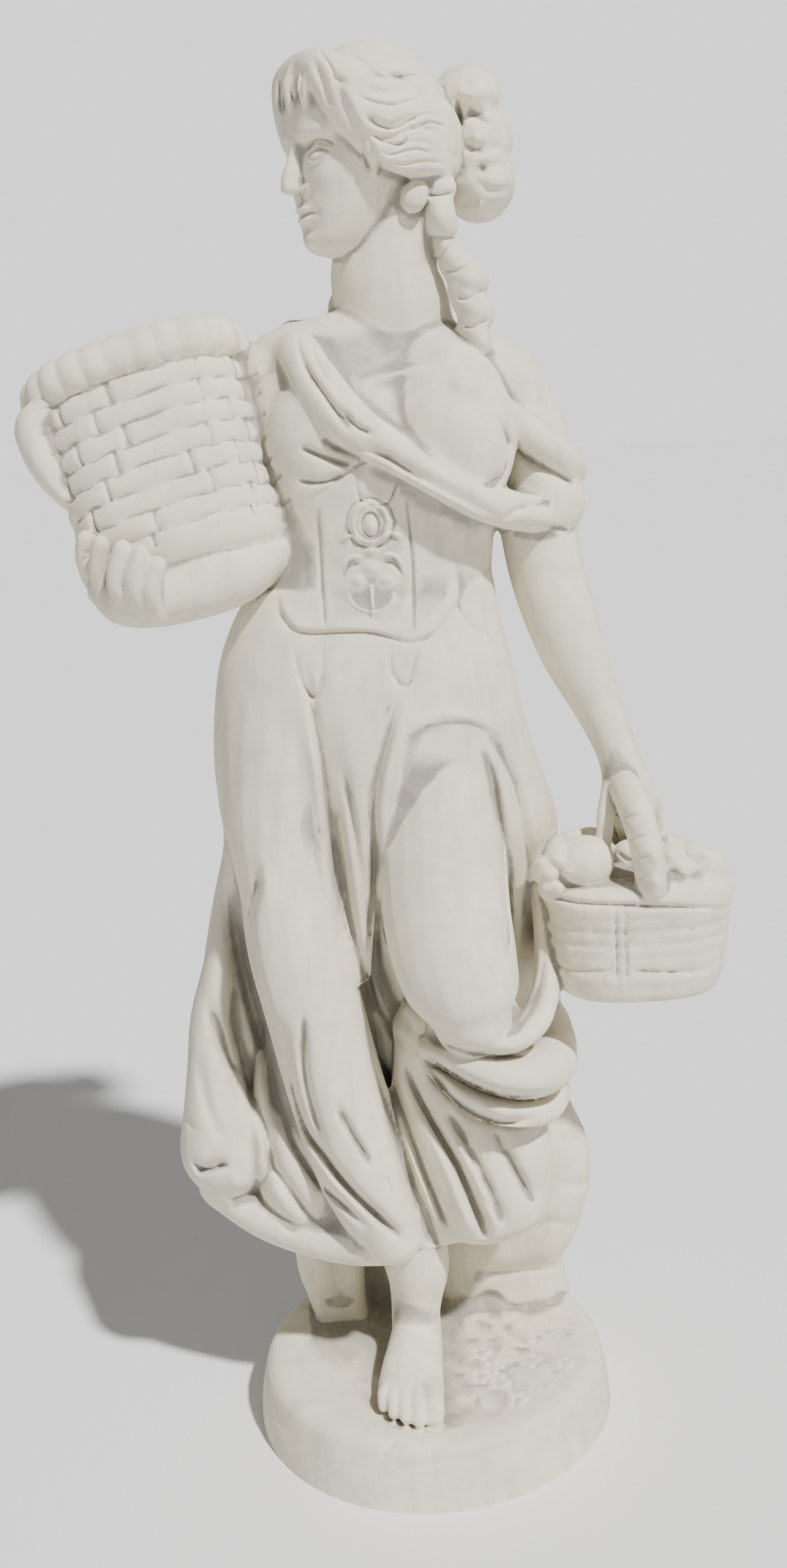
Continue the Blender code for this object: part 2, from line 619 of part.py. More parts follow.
FOLDS = [
    # Down the middle: the deep valley beside the standing leg, the thigh's own edge and the panel
    # between them.
    (
        "edge",
        [(-9.4, 86), (-8.8, 79), (-8.5, 72), (-8.0, 65), (-6.8, 57.4), (-5.2, 49), (-4.4, 42)],
        1.6,
        -1.5,
    ),
    ("groove", [(-10.0, 90), (-9.2, 83), (-8.8, 78), (-8.4, 71), (-7.6, 64)], 1.0, 1.0),
    ("groove", [(-8.2, 74), (-7.4, 66), (-6.4, 58), (-5.2, 50), (-4.4, 41.5), (-2.8, 32.6)], 1.5, 1.6),
    ("groove", [(-4.8, 44), (-3.2, 34.6), (-1.4, 26.4), (0.2, 21), (2.0, 17)], 1.5, 2.6),
    (
        "edge",
        [
            (0.9, 86), (-1.0, 80.5), (-2.9, 73.7), (-3.5, 66),
            (-3.8, 60), (-2.9, 53), (-1.4, 48), (1.6, 44),
        ],
        1.4,
        1.2,
    ),
    ("groove", [(-3.0, 72), (-3.9, 64), (-4.3, 57.4), (-3.8, 52), (-2.4, 47)], 1.2, 1.2),
    ("groove", [(-6.6, 80), (-5.7, 72), (-5.2, 66), (-4.9, 60), (-5.4, 53)], 0.9, 0.6),
    # The raised thigh: the strained line over its top and the two long folds down its right.
    ("ridge", [(-1.4, 77), (0.6, 80.4), (3.6, 82), (6.5, 82.2), (9.4, 81.2), (12.4, 78.4)], 1.1, 0.4),
    ("groove", [(8.6, 79.4), (9.8, 75), (10.6, 68.7), (11.1, 62), (11.0, 57), (10.5, 52)], 1.1, 1.2),
    ("groove", [(8.6, 82), (11.2, 77), (12.8, 72), (13.6, 66), (14.6, 58)], 1.2, 0.8),
    ("groove", [(-5.4, 54.6), (-4.4, 49.6), (-2.8, 46), (-0.9, 43)], 0.9, 0.8),
    # Round the knee: the two deep lines between the rolls and the line under them.
    ("groove", [(0.2, 45.8), (4.1, 43.8), (8.0, 42.6), (12.4, 42.3), (15.8, 43.5)], 1.2, 1.1),
    ("groove", [(0.0, 43.8), (2.9, 41.1), (7.9, 38.0), (13.2, 36.9), (16.6, 38.2)], 1.3, 1.7),
    ("groove", [(0.5, 42.6), (2.5, 39.3), (5.0, 36.3), (10.0, 34.0), (15.0, 34.8)], 1.4, 1.5),
    # The fan under the knee: rounded folds that spread from the knee to the hem.
    ("groove", [(-4.6, 44), (-2.7, 38.3), (-0.8, 31.6), (1.5, 24), (3.4, 18.0)], 1.2, 1.7),
    ("groove", [(-2.3, 44), (0.6, 36), (4.0, 28.8), (6.0, 23), (7.4, 17.6)], 1.3, 2.2),
    ("groove", [(2.2, 38.4), (5.4, 31), (7.4, 26), (9.6, 19.6)], 1.2, 1.4),
    ("groove", [(7.0, 36), (9.8, 29.8), (12.8, 23.4)], 1.4, 1.1),
    ("ridge", [(-1.0, 40), (1.6, 32), (4.0, 24), (5.4, 19.6)], 1.2, 0.7),
    ("ridge", [(2.0, 37), (5.6, 29), (7.6, 23.4), (9.0, 20)], 1.1, 0.6),
    # The standing leg's knee folds and the long grooves that sweep down to the left hem.
    (
        "edge",
        [(-16.0, 68), (-16.6, 64), (-17.8, 59.5), (-17.6, 54), (-16.6, 49), (-15.6, 44)],
        1.2,
        0.9,
    ),
    ("groove", [(-12.6, 50), (-13.0, 42.4), (-12.6, 38), (-10.8, 31.6)], 1.1, 0.9),
    (
        "groove",
        [(-15.4, 46), (-13.8, 36), (-11.3, 31), (-8.8, 27), (-5.4, 22.9), (-1.6, 18.6)],
        1.2,
        2.2,
    ),
    ("groove", [(-16.4, 39), (-14.9, 32.8), (-12.4, 28), (-10.0, 25.3), (-5.6, 20.2)], 1.2, 1.2),
    ("groove", [(-18.2, 33), (-16.2, 27.6), (-13.0, 22.6)], 1.4, 1.0),
    ("groove", [(-20.0, 28), (-17.6, 24.6), (-14.4, 21.0)], 1.2, 0.6),
    ("groove", [(-9.8, 38), (-7.8, 33.3), (-5.6, 28.6)], 0.9, 0.7),
    # The flap at the left: its rolled front edge, the crease at the outline and its own hanging folds.
    (
        "groove",
        [(-19.8, 68), (-19.4, 58), (-18.6, 51), (-17.2, 44), (-16.6, 38), (-15.6, 33)],
        1.9,
        2.3,
    ),
    (
        "edge",
        [
            (-24.0, 27.0), (-21.6, 27.0), (-19.2, 28.4), (-18.1, 32),
            (-18.9, 37), (-20.4, 42), (-21.6, 47),
        ],
        1.4,
        1.3,
    ),
    ("groove", [(-23.4, 52), (-22.4, 46.5), (-21.0, 41), (-20.2, 36)], 1.3, 0.9),
    ("groove", [(-27.0, 31.6), (-25.0, 30.2), (-22.4, 31.0)], 0.9, 1.3),
    ("groove", [(-25.0, 45), (-24.4, 38), (-22.6, 33)], 1.3, 0.6),
    # The chest: pleats gathered into the scarf, the scarf's own lines, and the bodice's top edge.
    ("groove", [(-8.3, 121.6), (-7.5, 119), (-6.3, 117), (-4.1, 113.7), (-3.0, 112.4)], 0.7, 0.7),
    ("groove", [(-4.6, 115.4), (-2.8, 113.1), (-0.8, 112.0)], 0.6, 0.5),
    (
        "edge",
        [(13.0, 101.9), (10.3, 103.3), (7.2, 105.4), (2.6, 108), (-1.1, 110.2), (-4.8, 112.4)],
        1.0,
        0.7,
    ),
    ("groove", [(-9.0, 111.4), (-6.9, 110.4), (-3.2, 108.8)], 0.7, 0.6),
    ("groove", [(-6.7, 112.1), (-4.6, 110.8), (-1.9, 109.6)], 0.6, 0.5),
    ("groove", [(-9.6, 108), (-7.1, 107.6), (-3.9, 108.5)], 0.7, 0.6),
    # The breast and the sleeve.
    ("groove", [(11.6, 114), (12.7, 110.8), (12.2, 107.6), (9.6, 106)], 0.9, 0.7),
    ("groove", [(12.2, 111.4), (15.3, 108.6), (18.1, 107), (20.2, 105.4)], 1.0, 1.0),
    ("groove", [(11.8, 102.4), (13.2, 103.4), (15.1, 104.1), (17.4, 104)], 0.8, 0.7),
    # The bodice's lower edge and its two tabs.
    (
        "edge",
        [(-12.2, 97), (-12.0, 94.5), (-11.0, 92.6), (-9.4, 91.9), (-3.2, 91.6), (2.5, 90.4)],
        0.8,
        0.45,
    ),
    ("edge", [(1.5, 90.4), (4.3, 91), (5.9, 92.8), (6.9, 95.4), (6.7, 98.8)], 0.8, 0.4),
]


HEAD_CENTRE = np.array([-1.0, -1.0, 139.2])
HEAD_TURN = math.radians(60)
HEAD_NOD = math.radians(4)


def in_head(forward, side, up):
    """A point given from the head's centre: towards her face, towards the spectator's right, and up."""
    level = forward * math.cos(HEAD_NOD) + up * math.sin(HEAD_NOD)
    height = up * math.cos(HEAD_NOD) - forward * math.sin(HEAD_NOD)
    ahead = np.array([-math.sin(HEAD_TURN), -math.cos(HEAD_TURN), 0.0])
    across = np.array([math.cos(HEAD_TURN), -math.sin(HEAD_TURN), 0.0])
    return HEAD_CENTRE + ahead * level + across * side + np.array([0, 0, height])


def head_ball(name, forward, side, up, radii, lean=0.0):
    """An ellipsoid with its radii along her face's direction, across it and up."""
    return ball(name, in_head(forward, side, up), radii, turn=-90 - math.degrees(HEAD_TURN), lean=lean)


def head_tube(name, stations, sides=12, deep_axis=(0, 0, 1)):
    """A tube through (forward, side, up, half width, half depth)."""
    return tube(name, [(*in_head(*st[:3]), *st[3:]) for st in stations], sides=sides, deep_axis=deep_axis)


def face_view(points):
    """How someone facing her sees layout points: how far to her left and how high, in units from the
    head's centre. Only the front of the head is in this view."""
    ahead, across, up = (in_head(*axis) - HEAD_CENTRE for axis in ((1, 0, 0), (0, 1, 0), (0, 0, 1)))
    off = points - HEAD_CENTRE
    seen_at = np.stack([off @ across, off @ up], -1)
    seen_at[(off @ ahead < 0) | (np.abs(off).max(1) > 12)] = 1000.0
    return seen_at, np.tile(ahead, (len(points), 1))


def face():
    """A plain oval face with a straight nose."""
    a = np.arange(36) * 2 * math.pi / 36
    c, s = (np.sign(f) * np.abs(f) ** (2 / 2.25) for f in (np.cos(a), np.sin(a)))
    rings = []
    for up, front, back, half in smooth_line(
        [
            (-9.4, 4.4, 1.5, 1.0),
            (-8.8, 6.0, -0.5, 2.3),
            (-7.6, 6.7, -2.5, 3.4),
            (-5.8, 6.9, -4.5, 4.5),
            (-3.8, 7.0, -6.5, 5.3),
            (-1.8, 7.0, -8.0, 5.9),
            (0.2, 7.0, -9.0, 6.3),
            (2.0, 7.3, -9.4, 6.5),
            (4.0, 7.2, -9.2, 6.6),
            (6.2, 6.0, -8.4, 6.3),
            (8.2, 3.4, -6.4, 5.0),
            (9.6, 0.2, -3.4, 2.4),
        ],
        3,
    ):
        middle, reach = (front + back) / 2, (front - back) / 2
        rings.append([in_head(middle + reach * i, half * j, up) for i, j in zip(c, s)])
    ahead = in_head(1, 0, 0) - in_head(0, 0, 0)
    bridge = [
        (6.9, 0, 1.6, 0.5, 0.6),
        (7.4, 0, -0.2, 0.6, 0.8),
        (7.95, 0, -1.8, 0.75, 1.0),
        (8.1, 0, -2.6, 0.8, 1.0),
    ]
    return [
        skin("face", world(np.array(rings)).reshape(len(rings), 36, 3)),
        head_tube("nose", bridge, deep_axis=ahead),
    ]


# The face's soft forms, for someone facing her: the middle of each from the eye line, half its width and height,
# and how far it stands out.
FACE_SIDES = [
    ((2.7, 0.45), 1.5, 1.0, -0.95),
    ((2.75, -0.05), 1.15, 0.62, 0.8),
    ((2.7, 2.0), 2.0, 0.6, 0.35),
    ((3.7, -2.0), 1.7, 1.3, 0.35),
    ((0.85, -2.95), 0.45, 0.45, 0.55),
    ((1.9, -5.3), 0.4, 0.4, -0.15),
]
FACE_FORMS = [
    ((0, -4.7), 1.4, 0.42, 0.45),
    ((0, -5.2), 1.7, 0.16, -0.25),
    ((0, -5.75), 1.1, 0.45, 0.5),
    ((0, -6.6), 1.3, 0.45, -0.3),
    ((0, -7.9), 1.5, 1.1, 0.55),
    *(((side * u, w), *size) for side in (-1, 1) for (u, w), *size in FACE_SIDES),
]


def hair():
    """Smooth hair swept from the brow over both ears to the knot behind, with a few curls on the brow,
    a drop below the near ear and a plait that falls on the shoulder."""
    forms = [head_ball("hair_cap", -1.8, 0, 2.4, (8.3, 7.3, 8.3))]
    for side in (-1, 1):
        sweep = [
            (5.0, 0.8, 8.2, 1.6, 1.6),
            (4.9, 3.4, 7.0, 1.9, 2.2),
            (3.4, 5.6, 4.6, 2.1, 3.2),
            (0.6, 6.5, 2.2, 2.2, 4.0),
            (-2.6, 6.5, 1.0, 2.2, 4.3),
            (-6.2, 5.0, 0.4, 2.3, 4.2),
            (-8.4, 2.4, 0.0, 2.2, 3.6),
        ]
        path = [(forward, side * out, *rest) for forward, out, *rest in sweep]
        forms.append(head_tube(f"hair_sweep_{side}", path, sides=24))
    curls = [
        [(-6.4, 148.4, -4.0), (-7.3, 146.4, -4.8), (-7.6, 144.4, -4.6)],
        [(-5.0, 148.2, -5.6), (-5.9, 146.4, -6.6), (-6.1, 144.8, -6.6)],
        [(-7.4, 147.8, -1.6), (-8.4, 145.6, -1.8), (-8.4, 142.6, -1.6)],
    ]
    for i, path in enumerate(curls):
        stations = [(*place, r, r) for place, r in zip(path, (0.9, 0.9, 0.5))]
        forms.append(limb(f"curl_{i}", stations, sides=12))
    bun = [
        ball("bun_top", seen(9.9, 143.7, 3.4), (3.7, 4.6, 3.8), lean=20),
        ball("bun_middle", seen(10.6, 140.2, 3.6), (4.0, 4.8, 4.2)),
        ball("bun_bottom", seen(10.7, 136.7, 3.0), (4.0, 4.8, 4.4), lean=-15),
    ]
    drop = limb(
        "drop",
        [
            (5.0, 136.6, -4.2, 0.9, 0.9),
            (4.5, 135.6, -4.8, 1.35, 1.2),
            (4.2, 134.9, -5.0, 1.3, 1.2),
        ],
    )
    plait = [
        limb("knot", [(6.3, 137.4, -3.4, 1.5, 1.6), (7.2, 136.0, -3.2, 1.5, 1.6)]),
        limb("plait_1", [(6.7, 135.0, -3.2, 1.5, 1.6), (7.0, 132.4, -3.0, 1.7, 1.7)]),
        limb("plait_2", [(7.0, 131.0, -2.6, 1.1, 1.3), (7.4, 129.8, -2.4, 1.2, 1.3)]),
        limb("plait_3", [(8.0, 128.8, -2.4, 1.6, 1.7), (9.6, 126.8, -2.8, 2.1, 2.0)]),
        limb("plait_4", [(8.6, 125.8, -3.0, 1.5, 1.7), (10.2, 123.6, -3.4, 1.9, 1.9)]),
        limb("plait_5", [(9.6, 122.6, -3.6, 1.6, 1.7), (10.4, 120.4, -3.8, 1.3, 1.4)]),
        ball("far_lock", seen(-3.7, 124.6, 4.6), (1.5, 1.9, 2.2)),
    ]
    return [*forms, *bun, drop, *plait]


# The waves in the hair, as the spectator sees them.
HAIR_WAVES = [
    (
        "edge",
        [(-2.8, 147.2), (-2.3, 145.6), (-1.4, 143.6), (-0.4, 141.6), (0.9, 139.2), (2.4, 138.2)],
        0.8,
        0.5,
    ),
    (
        "edge",
        [
            (0.3, 140.2), (1.2, 138.8), (2.5, 137.8), (4.1, 137.4),
            (6.2, 137.3), (8.2, 137.3), (9.4, 137.6),
        ],
        0.9,
        0.6,
    ),
    ("groove", [(-3.2, 147.0), (-2.3, 146.4), (-1.6, 146.2)], 0.6, 0.6),
    ("groove", [(-5.2, 149.0), (-4.4, 147.2), (-3.8, 145.4), (-3.4, 143.8)], 0.6, 0.6),
    ("groove", [(-1.6, 149.2), (0.2, 147.4), (2.4, 146.6), (5.2, 146.8)], 0.7, 0.7),
    ("groove", [(-0.8, 142.0), (0.6, 141.2), (2.4, 141.0), (4.2, 141.6), (6.2, 141.6), (8.0, 140.6)], 0.7, 0.6),
    ("groove", [(-0.2, 145.7), (1.4, 145.3), (3.4, 145.3), (6.5, 145.6)], 0.6, 0.5),
    ("groove", [(-0.4, 143.6), (0.8, 142.6), (2.4, 142.1), (3.9, 142.6), (5.2, 143.1)], 0.6, 0.6),
    ("groove", [(0.9, 139.9), (2.2, 139.9), (3.6, 140.3), (5.3, 140.5), (6.8, 139.4)], 0.6, 0.5),
    ("groove", [(0.4, 148.5), (2.6, 148.2), (4.6, 147.9), (6.2, 147.0)], 0.6, 0.35),
    ("groove", [(9.2, 145.6), (9.3, 142.0), (9.2, 139.2), (9.3, 136.4)], 0.7, 0.6),
    ("groove", [(-7.5, 148.2), (-7.7, 146.4), (-7.2, 144.8)], 0.4, 0.3),
    ("groove", [(9.7, 144.7), (10.8, 142.8), (13.3, 141.0)], 0.9, 0.6),
    ("groove", [(9.8, 140.0), (11.7, 139.2), (13.7, 140.0)], 0.9, 0.5),
    ("groove", [(10.2, 137.2), (12.0, 135.5), (14.4, 135.6)], 0.9, 0.5),
]


# The creel on her right arm, in its own frame: up its axis, across its width and through its depth.

CREEL_UP = unit((-0.25, 0.33, 0.91))
CREEL_DEEP = unit(np.array([0, 1, 0]) - CREEL_UP * CREEL_UP[1])
CREEL_WIDE = np.cross(CREEL_DEEP, CREEL_UP)
CREEL_FOOT = np.array(seen(-19.9, 97.2, -4.0))
CREEL_TALL = 24.6
CREEL_SQUARENESS = 2.9
RIM_LOBES = 30
RIM_LOBE_DEPTH = 0.35
RIM_HALF_HEIGHT = 2.1
RIM_PROUD = 1.4


def creel_size(height):
    """Half width and half depth at a height above the creel's foot."""
    return 10.6 + 0.04 * height, 8.2 + 0.085 * height


def creel_ring(height, inset, sides=44):
    a = np.arange(sides) * 2 * math.pi / sides
    c, s = (np.sign(f) * np.abs(f) ** (2 / CREEL_SQUARENESS) for f in (np.cos(a), np.sin(a)))
    wide, deep = (size - inset for size in creel_size(height))
    return (
        CREEL_FOOT
        + CREEL_UP * height
        + np.outer(c * wide, CREEL_WIDE)
        + np.outer(s * deep, CREEL_DEEP)
    )


def creel():
    """The creel's wall, open at the top, with the thick rim round it."""
    wall = CREEL_WALL / UNIT
    floor = CREEL_TALL - CREEL_HOLLOW_DEPTH / UNIT
    outside = [creel_ring(h, inset) for h, inset in ((0.0, 3.4), (0.6, 1.8), (1.6, 0.7), (3.0, 0.1))]
    outside += [creel_ring(h, 0.0) for h in np.linspace(5.0, CREEL_TALL - 0.5, 5)]
    top = [creel_ring(CREEL_TALL, 0.6), creel_ring(CREEL_TALL, wall - 0.4)]
    inside = [creel_ring(h, wall) for h in np.linspace(CREEL_TALL - 0.6, floor + 1.2, 4)]
    inside += [creel_ring(floor, wall + 1.2)]
    body = skin("creel_body", world(np.array(outside + top + inside)).reshape(-1, 44, 3))
    rim = creel_rim(CREEL_TALL - 2.0, 0.3)
    return [body, rim]


def creel_ear():
    """The ear at the creel's left, laid flat against its wall."""
    ear = limb(
        "creel_ear",
        [
            (-34.2, 117.0, -3.0, 1.4, 2.4),
            (-36.1, 114.9, -3.4, 2.0, 3.0),
            (-35.7, 112.4, -3.8, 2.1, 3.0),
            (-34.7, 109.9, -4.2, 1.9, 2.8),
            (-33.5, 107.4, -4.6, 1.2, 2.0),
        ],
    )
    return [ear]


def creel_rim(height, inset, sides=14, turns=260):
    """The rim: a border of upright loops, side by side."""
    centre = creel_ring(height, inset, turns)
    out = centre - (CREEL_FOOT + CREEL_UP * height)
    out /= np.linalg.norm(out, axis=1)[:, None]
    steps = np.linalg.norm(np.diff(centre, axis=0), axis=1)
    along = np.append(0, np.cumsum(steps)) / (steps.sum() + steps[0])
    lobe = 1 - RIM_LOBE_DEPTH * (1 - np.abs(np.sin(along * math.pi * RIM_LOBES)) ** 0.6)
    b = np.arange(sides) * 2 * math.pi / sides
    rings = (
        centre[:, None]
        + out[:, None] * (RIM_PROUD * np.cos(b))[None, :, None] * lobe[:, None, None]
        + CREEL_UP * (RIM_HALF_HEIGHT * np.sin(b))[None, :, None] * (0.5 + 0.5 * lobe)[:, None, None]
    )
    return wheel("creel_rim", world(rings).reshape(turns, sides, 3))


def wheel(name, rings):
    """A closed ring of rings, as a torus."""
    bm = bmesh.new()
    rows = [[bm.verts.new(p) for p in ring] for ring in rings]
    for low, high in zip(rows, rows[1:] + rows[:1]):
        for i in range(len(low)):
            j = (i + 1) % len(low)
            bm.faces.new((low[i], low[j], high[j], high[i]))
    bmesh.ops.recalc_face_normals(bm, faces=bm.faces[:])
    mesh = bpy.data.meshes.new(name)
    bm.to_mesh(mesh)
    bm.free()
    obj = bpy.data.objects.new(name, mesh)
    bpy.context.scene.collection.objects.link(obj)
    return obj


def creel_hand():
    """The right forearm that comes from behind to carry the creel from below, and the fingers round its
    corner."""
    forearm = limb(
        "forearm",
        [
            (-10.8, 101.8, -2.0, 1.7, 2.6),
            (-13.6, 100.2, -5.6, 2.9, 3.4),
            (-17.4, 98.5, -7.6, 3.6, 3.8),
            (-23.5, 97.0, -8.4, 3.5, 3.8),
            (-28.0, 96.8, -8.4, 3.3, 3.6),
            (-29.8, 97.6, -7.6, 2.4, 3.0),
        ],
        deep_axis=(0.2, 1, 0),
    )
    fingers = [
        [(-29.4, 95.6, -8.6), (-31.0, 99.0, -10.2), (-30.5, 102.4, -11.2)],
        [(-27.6, 94.8, -10.0), (-29.3, 98.2, -12.0), (-28.3, 101.8, -12.6)],
        [(-26.2, 94.5, -10.6), (-27.4, 98.0, -12.6), (-26.4, 101.2, -13.0)],
        [(-24.9, 94.4, -10.6), (-25.6, 97.2, -12.4), (-24.7, 99.9, -12.8)],
        [(-31.8, 98.8, -7.6), (-32.3, 101.0, -8.6), (-32.0, 103.0, -9.2)],
    ]
    return [forearm] + [
        limb(f"creel_finger_{i}", [(*p, 1.05, 1.05) for p in path], sides=12)
        for i, path in enumerate(fingers)
    ]


# The fruit basket in her left hand.

def fruit_basket():
    """The oval basket's body, up to its thick rim."""
    body = stack(
        "fruit_basket",
        [
            (51.6, 17.2, 31.4, -9.6, 3.6),
            (52.2, 16.0, 33.0, -10.8, 4.8),
            (54.0, 15.4, 33.8, -11.4, 5.4),
            (59.6, 14.8, 34.6, -11.8, 6.0),
            (61.0, 14.8, 34.7, -12.0, 6.1),
            (62.6, 14.4, 35.1, -12.4, 6.4),
            (64.4, 15.2, 34.6, -11.8, 5.8),
            (65.2, 18.0, 32.0, -9.0, 3.0),
        ],
        squareness=2.8,
        steps=3,
    )
    return [body]


def fruit_and_hoop():
    """The heaped grapes and apples, the hoop that runs from front to back, and the hand that holds it."""
    hoop = tube(
        "hoop",
        [
            (25.2, -11.0, 65.0, 2.3, 1.6),
            (24.8, -10.8, 69.0, 2.3, 1.7),
            (24.0, -8.8, 72.6, 2.2, 1.7),
            (23.6, -4.0, 74.0, 1.9, 1.7),
            (23.8, 0.6, 71.6, 1.7, 1.7),
            (24.0, 3.6, 66.5, 1.7, 1.7),
        ],
        deep_axis=(1, 0, 0),
    )
    fruit = [
        ball("apple", seen(19.8, 64.8, -7.5), (3.1, 3.1, 2.8)),
        ball("apple_behind", seen(20.4, 66.4, -1.0), (2.6, 2.6, 2.2)),
        ball("pear", seen(29.4, 65.0, -1.0), (3.0, 2.6, 2.2)),
    ]
    near_grapes = [(15.4, 64.0), (16.2, 61.9), (17.0, 65.6), (28.2, 62.9), (30.6, 63.1)]
    near_grapes += [(33.2, 62.7), (29.4, 64.6)]
    far_grapes = [(16.6, 66.4), (18.6, 67.0), (31.6, 64.8), (33.6, 63.9), (27.2, 65.4), (24.6, 65.4)]
    places = [seen(u, w, -7.6) for u, w in near_grapes] + [seen(u, w, -2.4) for u, w in far_grapes]
    fruit += [ball(f"grape_{i}", place, (1.7, 1.7, 1.6)) for i, place in enumerate(places)]
    palm = [(24.8, 73.6, -2.2, 2.6, 1.8), (25.4, 70.4, -1.0, 2.7, 1.8), (25.6, 67.6, 1.0, 2.0, 1.5)]
    thumb = [(22.9, 73.0, -3.6, 1.1, 1.1), (22.2, 70.0, -5.6, 1.0, 1.0), (22.0, 67.6, -6.4, 0.9, 0.9)]
    hand = [limb("grip_palm", palm), limb("grip_thumb", thumb)]
    for i in range(2):
        finger = [(26.6 + i * 0.9, 72.6 - i, -2, 0.9, 1), (27.2 + i * 0.6, 69.4 - i, -1, 0.9, 1)]
        hand.append(limb(f"grip_finger_{i}", finger))
    return [hoop, *fruit, *hand]


# The ground: the standing foot, the rock behind it and the base.


def foot():
    """The bare right foot and the ankle over it, seen below the hem."""
    shin = limb(
        "ankle",
        [
            (-3.0, 26, -3.0, 4.2, 4.4),
            (-1.4, 17.5, -2.0, 3.9, 4.0),
            (-1.5, 13.5, -1.4, 3.2, 3.5),
            (-1.9, 9.6, -0.8, 2.9, 3.3),
            (-1.8, 7.0, -0.4, 3.0, 3.4),
        ],
    )
    sole = tube(
        "sole",
        [
            (-1.6, 1.6, 8.6, 2.6, 2.2),
            (-1.7, -2.0, 9.6, 2.9, 3.2),
            (-2.1, -6.0, 9.4, 3.2, 2.8),
            (-2.6, -9.6, 8.6, 3.6, 2.1),
            (-2.8, -12.6, 8.0, 3.8, 1.6),
        ],
        deep_axis=(0, 0, 1),
    )
    toes = []
    toe_sizes = [(-0.3, -17.4, 1.15), (-2.0, -17.6, 0.85), (-3.4, -17.0, 0.8), (-4.7, -16.0, 0.75)]
    toe_sizes.append((-5.8, -14.6, 0.7))
    for i, (x, tip, thick) in enumerate(toe_sizes):
        path = [
            (x * 0.8 - 0.4, -11.0, 8.6, thick, thick),
            (x, (tip - 11) / 2, 8.6, thick, thick),
            (x, tip + thick, 7.6, thick, thick * 0.9),
        ]
        toes.append(tube(f"toe_{i}", path, sides=10, deep_axis=(0, 0, 1)))
    return [shin, sole, *toes]


def rock():
    """The layered rock under the raised foot, the stub at the left and the back that joins them."""
    right = stack(
        "rock_right",
        [
            (5.0, -2.0, 17.8, 6.0, 18.0),
            (9.0, -1.0, 17.2, 6.2, 18.0),
            (12.0, -1.0, 17.2, 5.6, 17.6),
            (14.4, 0.0, 18.4, 4.6, 17.4),
            (18.0, 2.0, 19.4, 3.6, 17.0),
            (23.0, 3.0, 20.4, 2.4, 16.4),
            (27.0, 4.0, 20.3, 1.6, 15.8),
            (31.0, 5.0, 18.8, 1.2, 14.6),
            (34.0, 6.0, 17.6, 2.0, 13.0),
            (37.0, 8.0, 15.0, 4.0, 11.0),
        ],
        squareness=3.0,
    )
    stub = stack(
        "rock_stub",
        [
            (5.0, -13.6, -7.0, 4.4, 13.0),
            (8.0, -14.6, -7.6, 4.4, 13.0),
            (10.0, -15.2, -7.8, 4.8, 13.0),
            (13.4, -16.0, -7.8, 4.4, 12.6),
            (20.0, -16.2, -7.6, 4.4, 12.6),
            (27.0, -15.0, -7.0, 4.4, 12.0),
        ],
        squareness=4.5,
    )
    back = stack(
        "rock_back",
        [
            (5.0, -13.0, 10.0, 8.4, 18.4),
            (12.0, -12.0, 10.0, 8.6, 17.6),
            (20.0, -12.0, 10.0, 8.0, 16.4),
            (28.0, -12.0, 10.0, 7.0, 14.0),
        ],
        squareness=3.0,
    )
    return [right, stub, back]


def base():
    """The round base, a little narrower at its top. It reaches under the underside, where the cast is
    cut flat."""
    edge, low = BASE_EDGE_ROUNDING, -2 * CAST_VOXEL
    heights = [(low, 0.0), (0.0, 0.0), (BASE_HEIGHT * 0.4, -0.3 * BASE_SLOPE)]
    for turn in (0, 30, 60, 85):
        t = math.radians(turn)
        heights.append((BASE_HEIGHT - edge * (1 - math.sin(t)), -BASE_SLOPE - edge * (1 - math.cos(t))))
    a = np.arange(72) * 2 * math.pi / 72
    outline = 1 + 0.006 * np.sin(2 * a + 0.6) + 0.005 * np.sin(3 * a + 1.0)
    rings = []
    for z, change in heights:
        r = BASE_RADIUS * outline + change
        rings.append(np.stack([r * np.cos(a), r * np.sin(a), z + 0 * a], -1))
    return [skin("base", np.array(rings))]


def sat_flat(obj):
    """Cuts the cast off flat at its underside."""
    bm = bmesh.new()
    bm.from_mesh(obj.data)
    cut = bmesh.ops.bisect_plane(
        bm,
        geom=bm.verts[:] + bm.edges[:] + bm.faces[:],
        plane_co=(0, 0, 0),
        plane_no=(0, 0, 1),
        clear_inner=True,
    )
    edges = [e for e in cut["geom_cut"] if isinstance(e, bmesh.types.BMEdge)]
    bmesh.ops.holes_fill(bm, edges=edges, sides=0)
    bmesh.ops.triangulate(bm, faces=[f for f in bm.faces if len(f.verts) > 4])
    bmesh.ops.recalc_face_normals(bm, faces=bm.faces[:])
    bm.to_mesh(obj.data)
    bm.free()
    return obj


def stone():
    material = bpy.data.materials.new("cast_stone")
    material.use_nodes = True
    shader = material.node_tree.nodes["Principled BSDF"]
    shader.inputs["Base Color"].default_value = STONE_COLOUR
    shader.inputs["Roughness"].default_value = STONE_ROUGHNESS
    shader.inputs["Metallic"].default_value = 0.0
    return material


